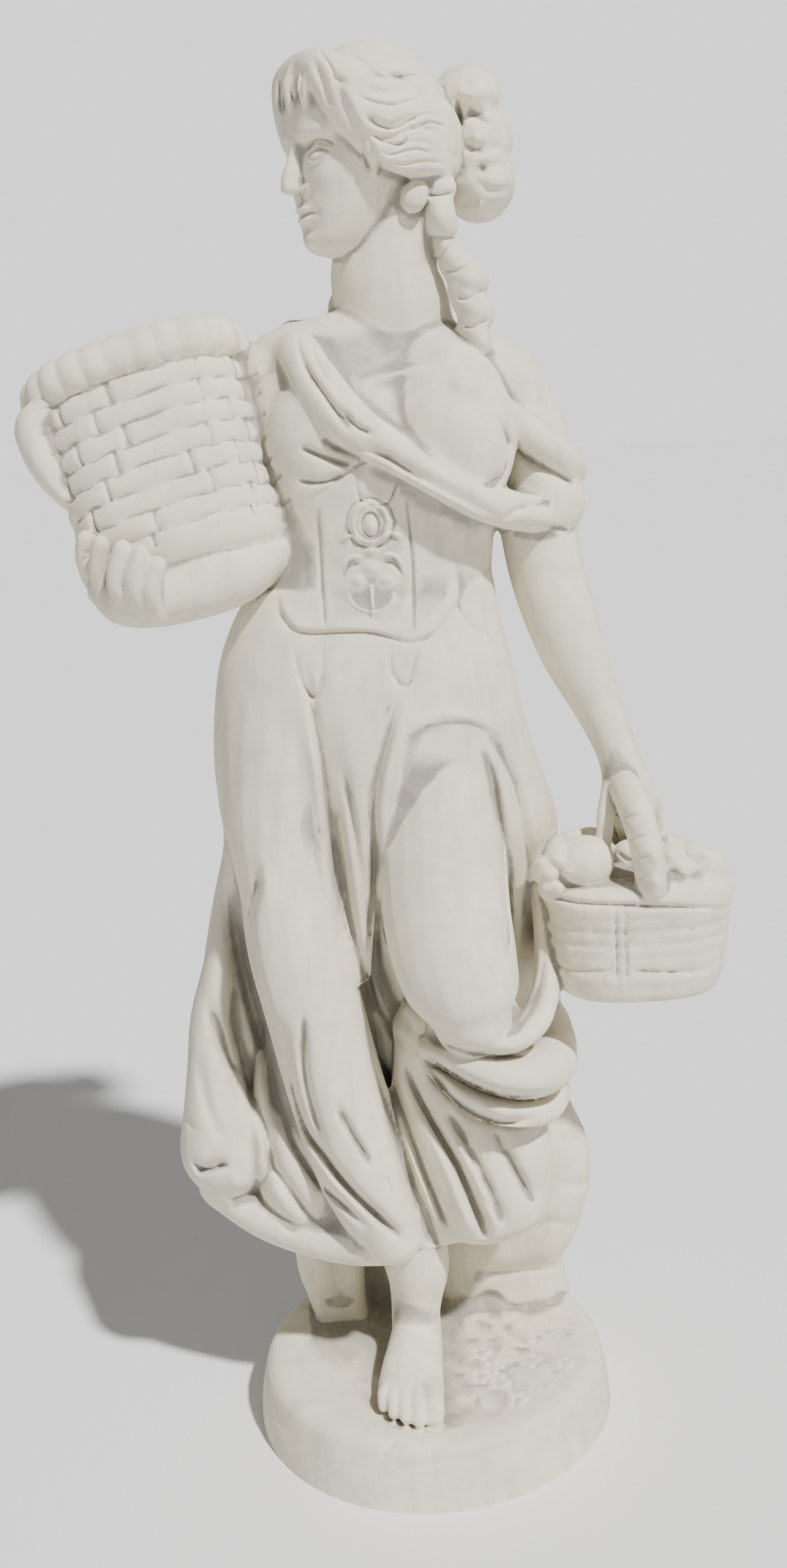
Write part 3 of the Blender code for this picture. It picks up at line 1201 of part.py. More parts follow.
def main():
    for old in list(bpy.data.objects):
        bpy.data.objects.remove(old)
    figure = merged("figure", skirt() + torso() + arms(), BODY_VOXEL, BODY_SOFTNESS)
    carve(figure, FOLDS)
    head = merged("head", face() + hair(), HEAD_VOXEL, HEAD_SOFTNESS)
    press(head, FACE_FORMS, face_view)
    carve(head, HAIR_WAVES)
    pieces = [figure, head, *creel(), *creel_ear(), *creel_hand(), *fruit_basket(), *fruit_and_hoop()]
    pieces += [*foot(), *rock(), *base()]
    statue = merged("statue", pieces, CAST_VOXEL, CAST_SOFTNESS)
    thin = statue.modifiers.new("Thin", "DECIMATE")
    thin.ratio = CAST_TRIANGLES / (2 * len(statue.data.polygons))
    applied(statue)
    sat_flat(statue)
    statue.data.shade_smooth()
    statue.data.materials.clear()
    statue.data.materials.append(stone())


main()
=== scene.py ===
import math

import bmesh
import bpy
import numpy as np
from mathutils import Matrix, Vector

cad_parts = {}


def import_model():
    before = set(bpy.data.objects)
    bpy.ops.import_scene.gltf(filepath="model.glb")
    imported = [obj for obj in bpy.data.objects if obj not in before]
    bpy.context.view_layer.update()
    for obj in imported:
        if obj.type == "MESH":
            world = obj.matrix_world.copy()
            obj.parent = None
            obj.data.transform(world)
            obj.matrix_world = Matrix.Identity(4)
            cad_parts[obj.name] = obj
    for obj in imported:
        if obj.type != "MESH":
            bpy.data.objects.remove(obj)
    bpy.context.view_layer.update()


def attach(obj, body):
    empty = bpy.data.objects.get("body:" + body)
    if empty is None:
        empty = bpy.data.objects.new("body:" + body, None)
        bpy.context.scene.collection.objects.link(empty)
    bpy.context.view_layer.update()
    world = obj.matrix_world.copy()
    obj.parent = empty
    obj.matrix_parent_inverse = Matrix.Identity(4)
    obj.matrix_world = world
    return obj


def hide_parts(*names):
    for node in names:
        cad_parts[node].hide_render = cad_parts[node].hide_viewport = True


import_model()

# The cast as a whole: one piece of pale concrete, whose forms are merged into one skin and carved. They are
# laid out in centimetres, on the upright plane through the statue's axis as a spectator in front of her
# sees it. +X is the spectator's right and +Y is away from them.
FIGURE_HEIGHT = 1.434
BASE_HEIGHT = 0.075
BASE_RADIUS = 0.208
BASE_SLOPE = 0.008
BASE_EDGE_ROUNDING = 0.018
CREEL_WALL = 0.024
CREEL_HOLLOW_DEPTH = 0.13
FIGURE_UNITS = 143.4
GROUND = 6.6
EYE = (-1.0, -163.0, 111.5)
UNIT = FIGURE_HEIGHT / FIGURE_UNITS
BODY_VOXEL = 0.0026
HEAD_VOXEL = 0.0016
CAST_VOXEL = 0.0021
BODY_SOFTNESS = 0.010
HEAD_SOFTNESS = 0.003
CAST_SOFTNESS = 0.0032
CAST_TRIANGLES = 190000


def seen(u, w, y):
    """The point at depth y that the spectator sees at (u, w) on the plane through the statue's axis."""
    k = nearness(y)
    return (EYE[0] + (u - EYE[0]) * k, y, EYE[2] + (w - EYE[2]) * k)


def nearness(y):
    """How much smaller a thing at depth y is than it looks on the plane through the axis."""
    return (y - EYE[1]) / -EYE[1]


def world(points):
    """Layout points in metres. The base's top, where the figure stands, is at GROUND units."""
    placed = np.array(points, float).reshape(-1, 3) * UNIT
    placed[:, 2] += BASE_HEIGHT - GROUND * UNIT
    return placed


def layout(points):
    """The inverse of world()."""
    placed = np.array(points, float).reshape(-1, 3)
    placed[:, 2] -= BASE_HEIGHT - GROUND * UNIT
    return placed / UNIT


def smooth_line(points, steps):
    """A Catmull-Rom curve through the points, with so many steps between each two."""
    p = np.array(points, float)
    p = np.vstack([2 * p[0] - p[1], p, 2 * p[-1] - p[-2]])
    rows = []
    for i in range(1, len(p) - 2):
        for t in np.arange(steps) / steps:
            rows.append(
                0.5
                * (
                    2 * p[i]
                    + (p[i + 1] - p[i - 1]) * t
                    + (2 * p[i - 1] - 5 * p[i] + 4 * p[i + 1] - p[i + 2]) * t**2
                    + (3 * p[i] - p[i - 1] - 3 * p[i + 1] + p[i + 2]) * t**3
                )
            )
    return np.array(rows + [p[-2]])


def unit(v):
    v = np.array(v, float)
    return v / np.linalg.norm(v)


def in_scene(name, bm):
    """A new object in the scene with this mesh."""
    mesh = bpy.data.meshes.new(name)
    bm.to_mesh(mesh)
    bm.free()
    obj = bpy.data.objects.new(name, mesh)
    bpy.context.scene.collection.objects.link(obj)
    return obj


def skin(name, rings, wheel=False):
    """A closed body through rings of points in metres, with a flat cap at each end. A wheel's last ring
    joins its first one instead."""
    sides = rings.shape[1]
    bm = bmesh.new()
    rows = [[bm.verts.new(p) for p in ring] for ring in rings]
    following = rows[1:] + rows[:1] if wheel else rows[1:]
    for low, high in zip(rows, following):
        for i in range(sides):
            j = (i + 1) % sides
            bm.faces.new((low[i], low[j], high[j], high[i]))
    if not wheel:
        bm.faces.new(rows[0][::-1])
        bm.faces.new(rows[-1])
        bmesh.ops.triangulate(bm, faces=bm.faces[:])
    bmesh.ops.recalc_face_normals(bm, faces=bm.faces[:])
    return in_scene(name, bm)


def stack(name, rings, squareness=2.0, steps=4, sides=40, pleats=None, relief=None):
    """Level rings, bottom to top: (height, left, right, front, back). Pleats, on the back only, are their
    number, the depth they have at the hem and the height where they run out. Relief gives how far the
    skin stands out at a turn round the ring and a height."""
    z, left, right, front, back = smooth_line(rings, steps).T
    a = np.arange(sides) * 2 * math.pi / sides
    c, s = (np.sign(f) * np.abs(f) ** (2 / squareness) for f in (np.cos(a), np.sin(a)))
    wide, deep = ((right - left) / 2)[:, None], ((back - front) / 2)[:, None]
    if relief:
        proud = np.array([relief(a, height) for height in z])
        wide, deep = wide + proud, deep + proud
    x = ((left + right) / 2)[:, None] + wide * c
    y = ((front + back) / 2)[:, None] + deep * s
    if pleats:
        count, depth, run_out = pleats
        share = np.clip((run_out - z) / (run_out - z[0]), 0, 1)[:, None]
        wave = -depth * share * (0.5 + 0.5 * np.cos(2 * a * count + 1.5 * share)) * np.clip(2 * s, 0, 1)
        x, y = x + wave * c, y + wave * s
    return skin(name, world(np.stack([x, y, z[:, None] + 0 * x], -1)).reshape(*x.shape, 3))


def limb(name, stations, steps=4, sides=20, deep_axis=(0, 1, 0)):
    """A round-ended tube: each station is where it is seen, its depth, and its half width and depth."""
    path = []
    for u, w, y, wide, deep in stations:
        path.append((*seen(u, w, y), wide * nearness(y), deep * nearness(y)))
    return tube(name, path, steps, sides, deep_axis)


def tube(name, stations, steps=4, sides=20, deep_axis=(0, 1, 0)):
    """A round-ended tube through (x, y, z, half width, half depth)."""
    line = smooth_line(stations, steps)
    middle, wide, deep = line[:, :3], line[:, 3], line[:, 4]
    along = np.gradient(middle, axis=0)
    along /= np.linalg.norm(along, axis=1)[:, None]
    depth = np.array(deep_axis, float) - along * (along @ np.array(deep_axis, float))[:, None]
    depth /= np.linalg.norm(depth, axis=1)[:, None]
    side = np.cross(depth, along)
    a = np.arange(sides) * 2 * math.pi / sides
    rings = []

    def ring(i, shift, shrink):
        return (
            middle[i]
            + along[i] * shift
            + np.outer(np.cos(a), side[i]) * wide[i] * shrink
            + np.outer(np.sin(a), depth[i]) * deep[i] * shrink
        )

    for turn in (85, 60, 30):
        t = math.radians(turn)
        rings.append(ring(0, -min(wide[0], deep[0]) * math.sin(t), math.cos(t)))
    rings += [ring(i, 0, 1) for i in range(len(line))]
    for turn in (30, 60, 85):
        t = math.radians(turn)
        rings.append(ring(-1, min(wide[-1], deep[-1]) * math.sin(t), math.cos(t)))
    return skin(name, world(np.array(rings)).reshape(len(rings), sides, 3))


def ball(name, centre, radii, turn=0.0, lean=0.0):
    """An ellipsoid: radii along X, Y and Z, leant about Y and then turned about Z, in degrees."""
    turns, rows = 20, 12
    theta = np.arange(turns) * 2 * math.pi / turns
    phi = np.radians(np.linspace(-86, 86, rows))
    level, up = np.cos(phi)[:, None], np.sin(phi)[:, None]
    p = np.stack([level * np.cos(theta), level * np.sin(theta), up + 0 * theta], -1)
    p = p * np.array(radii, float)
    c, s = math.cos(math.radians(lean)), math.sin(math.radians(lean))
    about_y = np.array([[c, 0, s], [0, 1, 0], [-s, 0, c]])
    c, s = math.cos(math.radians(turn)), math.sin(math.radians(turn))
    about_z = np.array([[c, -s, 0], [s, c, 0], [0, 0, 1]])
    p = p @ (about_z @ about_y).T + np.array(centre, float)
    return skin(name, world(p).reshape(rows, turns, 3))


def merged(name, parts, voxel, softness):
    """The parts as one closed skin, softened where they meet."""
    bm = bmesh.new()
    for part in parts:
        bm.from_mesh(part.data)
        bpy.data.objects.remove(part)
    obj = in_scene(name, bm)
    remesh = obj.modifiers.new("Merge", "REMESH")
    remesh.mode = "VOXEL"
    remesh.voxel_size = voxel
    smooth = obj.modifiers.new("Soften", "SMOOTH")
    smooth.factor = 0.5
    smooth.iterations = round((softness / voxel) ** 2)
    return applied(obj)


def applied(obj):
    """The object with its modifiers made part of its mesh."""
    graph = bpy.context.evaluated_depsgraph_get()
    mesh = bpy.data.meshes.new_from_object(obj.evaluated_get(graph))
    obj.modifiers.clear()
    obj.data = mesh
    return obj


def coordinates(mesh):
    co = np.empty(len(mesh.vertices) * 3, np.float32)
    mesh.vertices.foreach_get("co", co)
    return co.reshape(-1, 3).astype(float)


def normals(mesh):
    n = np.empty(len(mesh.vertices) * 3, np.float32)
    mesh.vertex_normals.foreach_get("vector", n)
    return n.reshape(-1, 3).astype(float)


def spectator_view(points):
    """Where the spectator sees layout points on the plane through the axis, and the direction back to
    the eye."""
    k = nearness(points[:, 1])
    seen_at = np.stack([EYE[0] + (points[:, 0] - EYE[0]) / k, EYE[2] + (points[:, 2] - EYE[2]) / k], -1)
    sight = np.array(EYE) - points
    return seen_at, sight / np.linalg.norm(sight, axis=1)[:, None]


def to_line(points, line):
    """For each point: its distance to the line, on which side it lies (left is positive), and how far
    along."""
    best = np.full(len(points), np.inf)
    side = np.ones(len(points))
    share = np.zeros(len(points))
    for i, (a, b) in enumerate(zip(line, line[1:])):
        d = b - a
        t = np.clip((points - a) @ d / max(d @ d, 1e-9), 0, 1)
        off = points - a - t[:, None] * d
        far = np.hypot(off[:, 0], off[:, 1])
        nearer = far < best
        best[nearer] = far[nearer]
        side[nearer] = np.sign(d[0] * off[nearer, 1] - d[1] * off[nearer, 0])
        share[nearer] = (i + t[nearer]) / (len(line) - 1)
    return best, side, share


def overlap(s):
    """A cloth's edge lying on another: raised on the left of its line, sunk on the right."""
    return np.tanh(s / 0.45) * np.where(s > 0, np.exp(-((s / 1.3) ** 2)), np.exp(-((s / 0.7) ** 2)))


PROFILES = {
    "groove": lambda s: -np.exp(-((s / 0.5) ** 2)),
    "ridge": lambda s: np.exp(-((s / 0.55) ** 2)),
    "edge": overlap,
}


def facing_side(obj, view):
    """The skin's layout points, where the view sees them, the way to the viewer and how squarely each
    one faces."""
    co = layout(coordinates(obj.data))
    seen_at, sight = view(co)
    square = np.clip((np.einsum("ij,ij->i", normals(obj.data), sight) - 0.1) / 0.35, 0, 1)
    return co, seen_at, sight, square


def reshaped(obj, points):
    obj.data.vertices.foreach_set("co", world(points).astype(np.float32).ravel())
    obj.data.update()
    return obj


def carve(obj, strokes, view=spectator_view):
    """Moves the skin that faces the viewer along the line of sight: each stroke is a profile, the
    points of its line as the viewer sees them, its half width and its depth. A line that ends where it
    starts has no ends."""
    co, seen_at, sight, square = facing_side(obj, view)
    for profile, points, width, depth in strokes:
        line = smooth_line(points, 6)
        low, high = line.min(0) - 2.2 * width, line.max(0) + 2.2 * width
        near = np.flatnonzero((square > 0) & (seen_at > low).all(1) & (seen_at < high).all(1))
        far, side, share = to_line(seen_at[near], line)
        fade = np.clip(np.minimum(share, 1 - share) / 0.25, 0, 1)
        if points[0] == points[-1]:
            fade[:] = 1
        fade = fade * fade * (3 - 2 * fade) * square[near]
        co[near] += sight[near] * (PROFILES[profile](far * side / width) * depth * fade)[:, None]
    return reshaped(obj, co)


def press(obj, dents, view=spectator_view):
    """Raises or sinks soft round places: where the viewer sees the middle, the half width and half height,
    and how far it stands out."""
    co, seen_at, sight, square = facing_side(obj, view)
    for middle, wide, tall, out in dents:
        away = (seen_at - np.array(middle)) / (wide, tall)
        near = np.flatnonzero((square > 0) & (np.abs(away) < 3).all(1))
        off = away[near] ** 2
        co[near] += sight[near] * (np.exp(-off.sum(1)) * out * square[near])[:, None]
    return reshaped(obj, co)


# The dress and the body under it: a bodice over a gathered skirt that is hitched up round the raised knee,
# a scarf across the chest and a puffed sleeve.


def skirt():
    """The gathered skirt: its whole spread, the standing leg and the raised thigh that push it forward,
    the panel between them, the sweep to the left hem, the fan under the knee and the rolls of cloth
    hung round the knee."""
    spread = stack("skirt_spread", [
        (21.2, -8, -1, -5, 6), (22.2, -13, 8, -6.4, 9), (23.4, -16.8, 10.2, -6.8, 11),
        (24.8, -20, 12, -6.8, 12.2), (26.4, -23.4, 13.4, -6.6, 12.8), (29, -25, 15, -6, 13.2),
        (33, -26.2, 15.5, -5.5, 13.8), (37, -26.6, 15.6, -4.5, 14), (42, -25.7, 17.2, -3.5, 14),
        (48, -25, 17, -3.5, 13.8), (55, -23.8, 15.6, -4.5, 13.5), (62, -22.1, 16, -6.5, 13.2),
        (69, -20.2, 17, -9, 13), (74, -20.3, 15.9, -10.6, 13), (80, -20.3, 14, -11.6, 13),
        (88, -19.2, 12.4, -11.4, 11.8), (93, -17.4, 11.3, -10.4, 9.8), (97, -15, 10.7, -9.4, 8.2),
    ], squareness=2.4, sides=96, pleats=(9, 2.2, 90.0))
    standing_leg = limb("standing_leg", [
        (-10.4, 89, -0.5, 7.6, 9.4), (-11.6, 80, -1.5, 8.4, 9.8), (-13.3, 72, -3, 6.7, 9),
        (-13.1, 64, -4.5, 5.7, 8.2), (-12.8, 57, -6, 5.6, 7.6), (-11.5, 50, -6.5, 5.6, 7),
        (-10, 42, -6.5, 5.6, 6.6), (-8.4, 35, -6.5, 5.6, 6), (-6.8, 29, -6.5, 5.4, 5.6),
        (-5.2, 24, -6.5, 4.8, 4.9), (-4, 20.6, -7, 3.6, 3.8),
    ])
    left_sweep = limb("left_sweep", [
        (-14.6, 52, 1, 1.6, 3.4), (-15.2, 45, -0.8, 2.8, 3.8), (-15.4, 38, -2.6, 4, 4),
        (-14.2, 32, -3.6, 5.6, 4.4), (-12.6, 28, -3.8, 6.4, 4), (-11, 25.2, -3.8, 5.6, 3),
    ])
    left_hem = limb("left_hem", [
        (-23.2, 28.8, 0.5, 2.8, 4.6), (-18.4, 25.4, -0.8, 3.4, 5), (-13.4, 23, -2.2, 3.5, 5.2),
        (-8.4, 21.4, -3.6, 3.5, 5), (-4.4, 20.8, -4.4, 3.3, 4.6),
    ])
    left_flap = limb("left_flap", [
        (-18.4, 70, 3, 0.8, 3), (-20.3, 62, 1.6, 1.3, 3.6), (-21.6, 55, 0.2, 1.9, 4),
        (-22.9, 49, -0.8, 2.5, 4.2), (-23.1, 43, -1.8, 3.2, 4.6), (-23.1, 37, -2.4, 4.2, 5),
        (-23.2, 32.5, -2.6, 4.7, 5), (-22.6, 29.4, -2.2, 3.6, 3.8),
    ])
    raised_thigh = limb("raised_thigh", [
        (4.8, 84, 1.5, 6.6, 9), (4.2, 76, -2, 7, 9.2), (3.9, 68, -5, 7.2, 8.8),
        (4.1, 60, -8, 7.2, 8.4), (4.9, 54, -10.5, 7, 7.8), (5.9, 50, -12, 6.3, 6.8),
        (6.4, 47.4, -12.4, 4.8, 5.2),
    ])
    bent_shin = limb("bent_shin", [(6.5, 47, -8, 5.5, 5.5), (7.5, 38, -3, 5.5, 5), (8.5, 30, 3, 5, 5)])
    fan = limb("fan", [
        (1.2, 46, -5, 4, 4), (4, 38, -4.5, 7.8, 5), (6.4, 30, -4.5, 8.8, 5.4),
        (7.4, 24.4, -4.5, 7.6, 5),
    ])
    panel = limb("panel", [
        (-4, 88, -6, 5.4, 4.6), (-5, 76, -6.8, 4, 4.6), (-5.6, 66, -6.8, 2.6, 4),
        (-5.7, 58, -6.8, 1.6, 3.2), (-5.6, 53, -6.6, 0.9, 2.2),
    ])
    rolls = [
        limb("upper_roll", [
            (1, 44, -9.5, 0.9, 1.4), (3.5, 42.4, -12, 1.4, 2), (6, 41, -13.2, 1.8, 2.4),
            (8.5, 40.1, -13.8, 2.2, 2.6), (11.5, 39.7, -12.8, 2.7, 2.8), (14.5, 40.4, -8.5, 2.7, 3),
            (15.9, 42.8, -2, 2.4, 2.8), (15.6, 46.5, 3, 1.9, 2.4),
        ], deep_axis=(0.2, 1, 0)),
        limb("lower_roll", [
            (0.7, 42.7, -9, 0.7, 1.2), (2.7, 40.2, -10.6, 1.1, 1.8), (5.1, 37.9, -11.6, 1.6, 2.2),
            (7.6, 36.3, -11.8, 1.8, 2.4), (10.3, 35.6, -11, 1.8, 2.4), (12.8, 35.5, -9.2, 1.7, 2.4),
            (14.6, 36.2, -5.8, 1.6, 2.2), (15.8, 38, -1, 1.3, 2),
        ], deep_axis=(0.2, 1, 0)),
        limb("side_roll", [
            (14.8, 62, -2, 1.2, 2.6), (15.2, 56, -3.6, 1.4, 3), (15.2, 51.5, -5.4, 1.6, 3.2),
            (14.2, 47.6, -8.4, 1.7, 2.8), (12.2, 45, -12, 1.6, 2.4), (9.6, 43.7, -14.4, 1.2, 2),
            (7, 43.6, -14.6, 0.8, 1.4),
        ], deep_axis=(0.2, 1, 0)),
    ]
    left_side = [standing_leg, left_sweep, left_hem, left_flap]
    return [spread, *left_side, raised_thigh, bent_shin, fan, panel, *rolls]


def torso():
    """Bodice, breast, shoulders and neck, with the scarf's roll across the chest and the puffed
    sleeve."""
    trunk = stack("trunk", [
        (90, -13.6, 11.2, -10, 9.4), (96, -14.2, 10.6, -9.6, 8.2), (100, -12.4, 10.8, -9.6, 8.2),
        (104, -12.3, 11.5, -9.9, 8.8), (108, -13, 12.3, -10.2, 9.6), (112, -13.8, 13, -9.6, 10.3),
        (116, -14.4, 14, -7.8, 10.4), (119, -14, 13.4, -6, 9.6), (121, -13.4, 11.4, -4.8, 8.2),
        (123, -11.6, 7.8, -4, 7), (125, -3, 5, -2.4, 5),
    ], squareness=2.3)
    left_breast = limb("left_breast", [
        (4.4, 119.6, -1.4, 5, 3.6), (5.6, 116.6, -3.8, 6.2, 4.4), (6.9, 113.6, -5.6, 6.5, 5.2),
        (7.8, 110.8, -6.6, 6.2, 5.6), (8.2, 108.2, -6, 5.2, 5.2), (8.2, 106.2, -4.6, 3.4, 4),
    ])
    right_breast = ball("right_breast", seen(-6.2, 111.8, -5.0), (6.0, 4.6, 6.6), lean=-10)
    shoulder = limb("shoulder", [
        (3, 120.4, 1, 3.4, 4.4), (8, 118.6, 0.8, 3.6, 4.8), (12.4, 116.6, 0.6, 4.3, 5),
        (13.8, 112, 0.4, 4.4, 4.8),
    ])
    neck = limb("neck", [
        (1.6, 117, 1.4, 8, 5.8), (1.6, 121.5, 1, 6.5, 5.4), (1.4, 125, 0.4, 6, 5.1),
        (0.9, 128, 0.2, 5.5, 5.1), (1.6, 132, 0.4, 5.2, 5.3), (2, 137, 1, 5, 5.5),
    ])
    scarf = limb("scarf", [
        (-8.8, 122.6, 1, 1.6, 1.6), (-8.2, 120.6, -4.2, 2.2, 1.8), (-6, 116.6, -8, 2.6, 2.2),
        (-3, 113, -9.6, 2.5, 2.2), (1, 110.2, -10.2, 2.2, 2.2), (5, 107.6, -10.8, 2, 2.4),
        (9, 105.2, -9.8, 2.1, 2.4), (12.4, 103.8, -7.2, 2.1, 2.4), (15.4, 103, -4.2, 1.9, 2.2),
        (17.8, 102.6, -1, 1.4, 2),
    ])
    sleeve = stack("sleeve", [
        (101.2, 11.9, 19.2, -4, 4.4), (102.2, 11.3, 20.3, -4.9, 5.2), (104.4, 11.3, 20.9, -5.4, 5.6),
        (106.4, 11.8, 20.3, -5.3, 5.6), (109, 12, 19.8, -5.4, 5.6), (112, 11, 18.2, -5.2, 5.6),
        (115, 10.4, 16.4, -4.2, 5),
    ])
    sleeve_band = limb("sleeve_band", [
        (8, 116.6, -9.4, 1, 1.2), (12, 114.2, -7.4, 1.5, 1.6), (15.6, 111, -5.4, 1.9, 1.9),
        (18.6, 108.4, -2.6, 1.9, 1.9), (19.6, 107.4, 2, 1.6, 1.6),
    ])
    return [trunk, left_breast, right_breast, shoulder, neck, scarf, sleeve, sleeve_band]


def arms():
    """The lowered left arm with the fin that stiffens it on its outer side, and the right upper arm,
    bent at the elbow behind the creel."""
    lowered = limb("lowered_arm", [
        (14.6, 112, 0.4, 4.4, 4.4), (15.6, 104, 0.2, 4.2, 4.3), (16.3, 98, 0, 4, 4.1),
        (17.6, 93, -0.4, 3.9, 4), (19.2, 88, -0.8, 3.5, 3.6), (21.3, 83, -1.4, 2.8, 3),
        (23, 78.5, -2, 2.25, 2.3), (24, 75.4, -2.4, 2.3, 2.1), (24.6, 72.4, -2.6, 2.9, 1.9),
        (25, 70, -2.4, 2.9, 1.7),
    ])
    fin = limb("fin", [
        (19.4, 97, 0.8, 0.9, 1.4), (20.9, 91, 0.8, 0.9, 1.5), (22.9, 84, 0.2, 0.9, 1.5),
        (24.8, 78, -0.4, 0.9, 1.4), (26.6, 72.5, -0.6, 0.9, 1.3), (28, 67, -0.6, 1, 1.3),
    ])
    bent = limb("bent_arm", [
        (-10.6, 118, 1.5, 4.8, 4.8), (-14.5, 112, 7, 4.2, 4.2), (-15.4, 105, 9.4, 4.1, 4.1),
        (-14, 100, 6, 3.9, 3.9), (-12, 99.6, 1, 3.5, 3.5), (-12.4, 100, -3, 3.2, 3.2),
    ], deep_axis=(1, 0.3, 0))
    return [lowered, fin, bent]


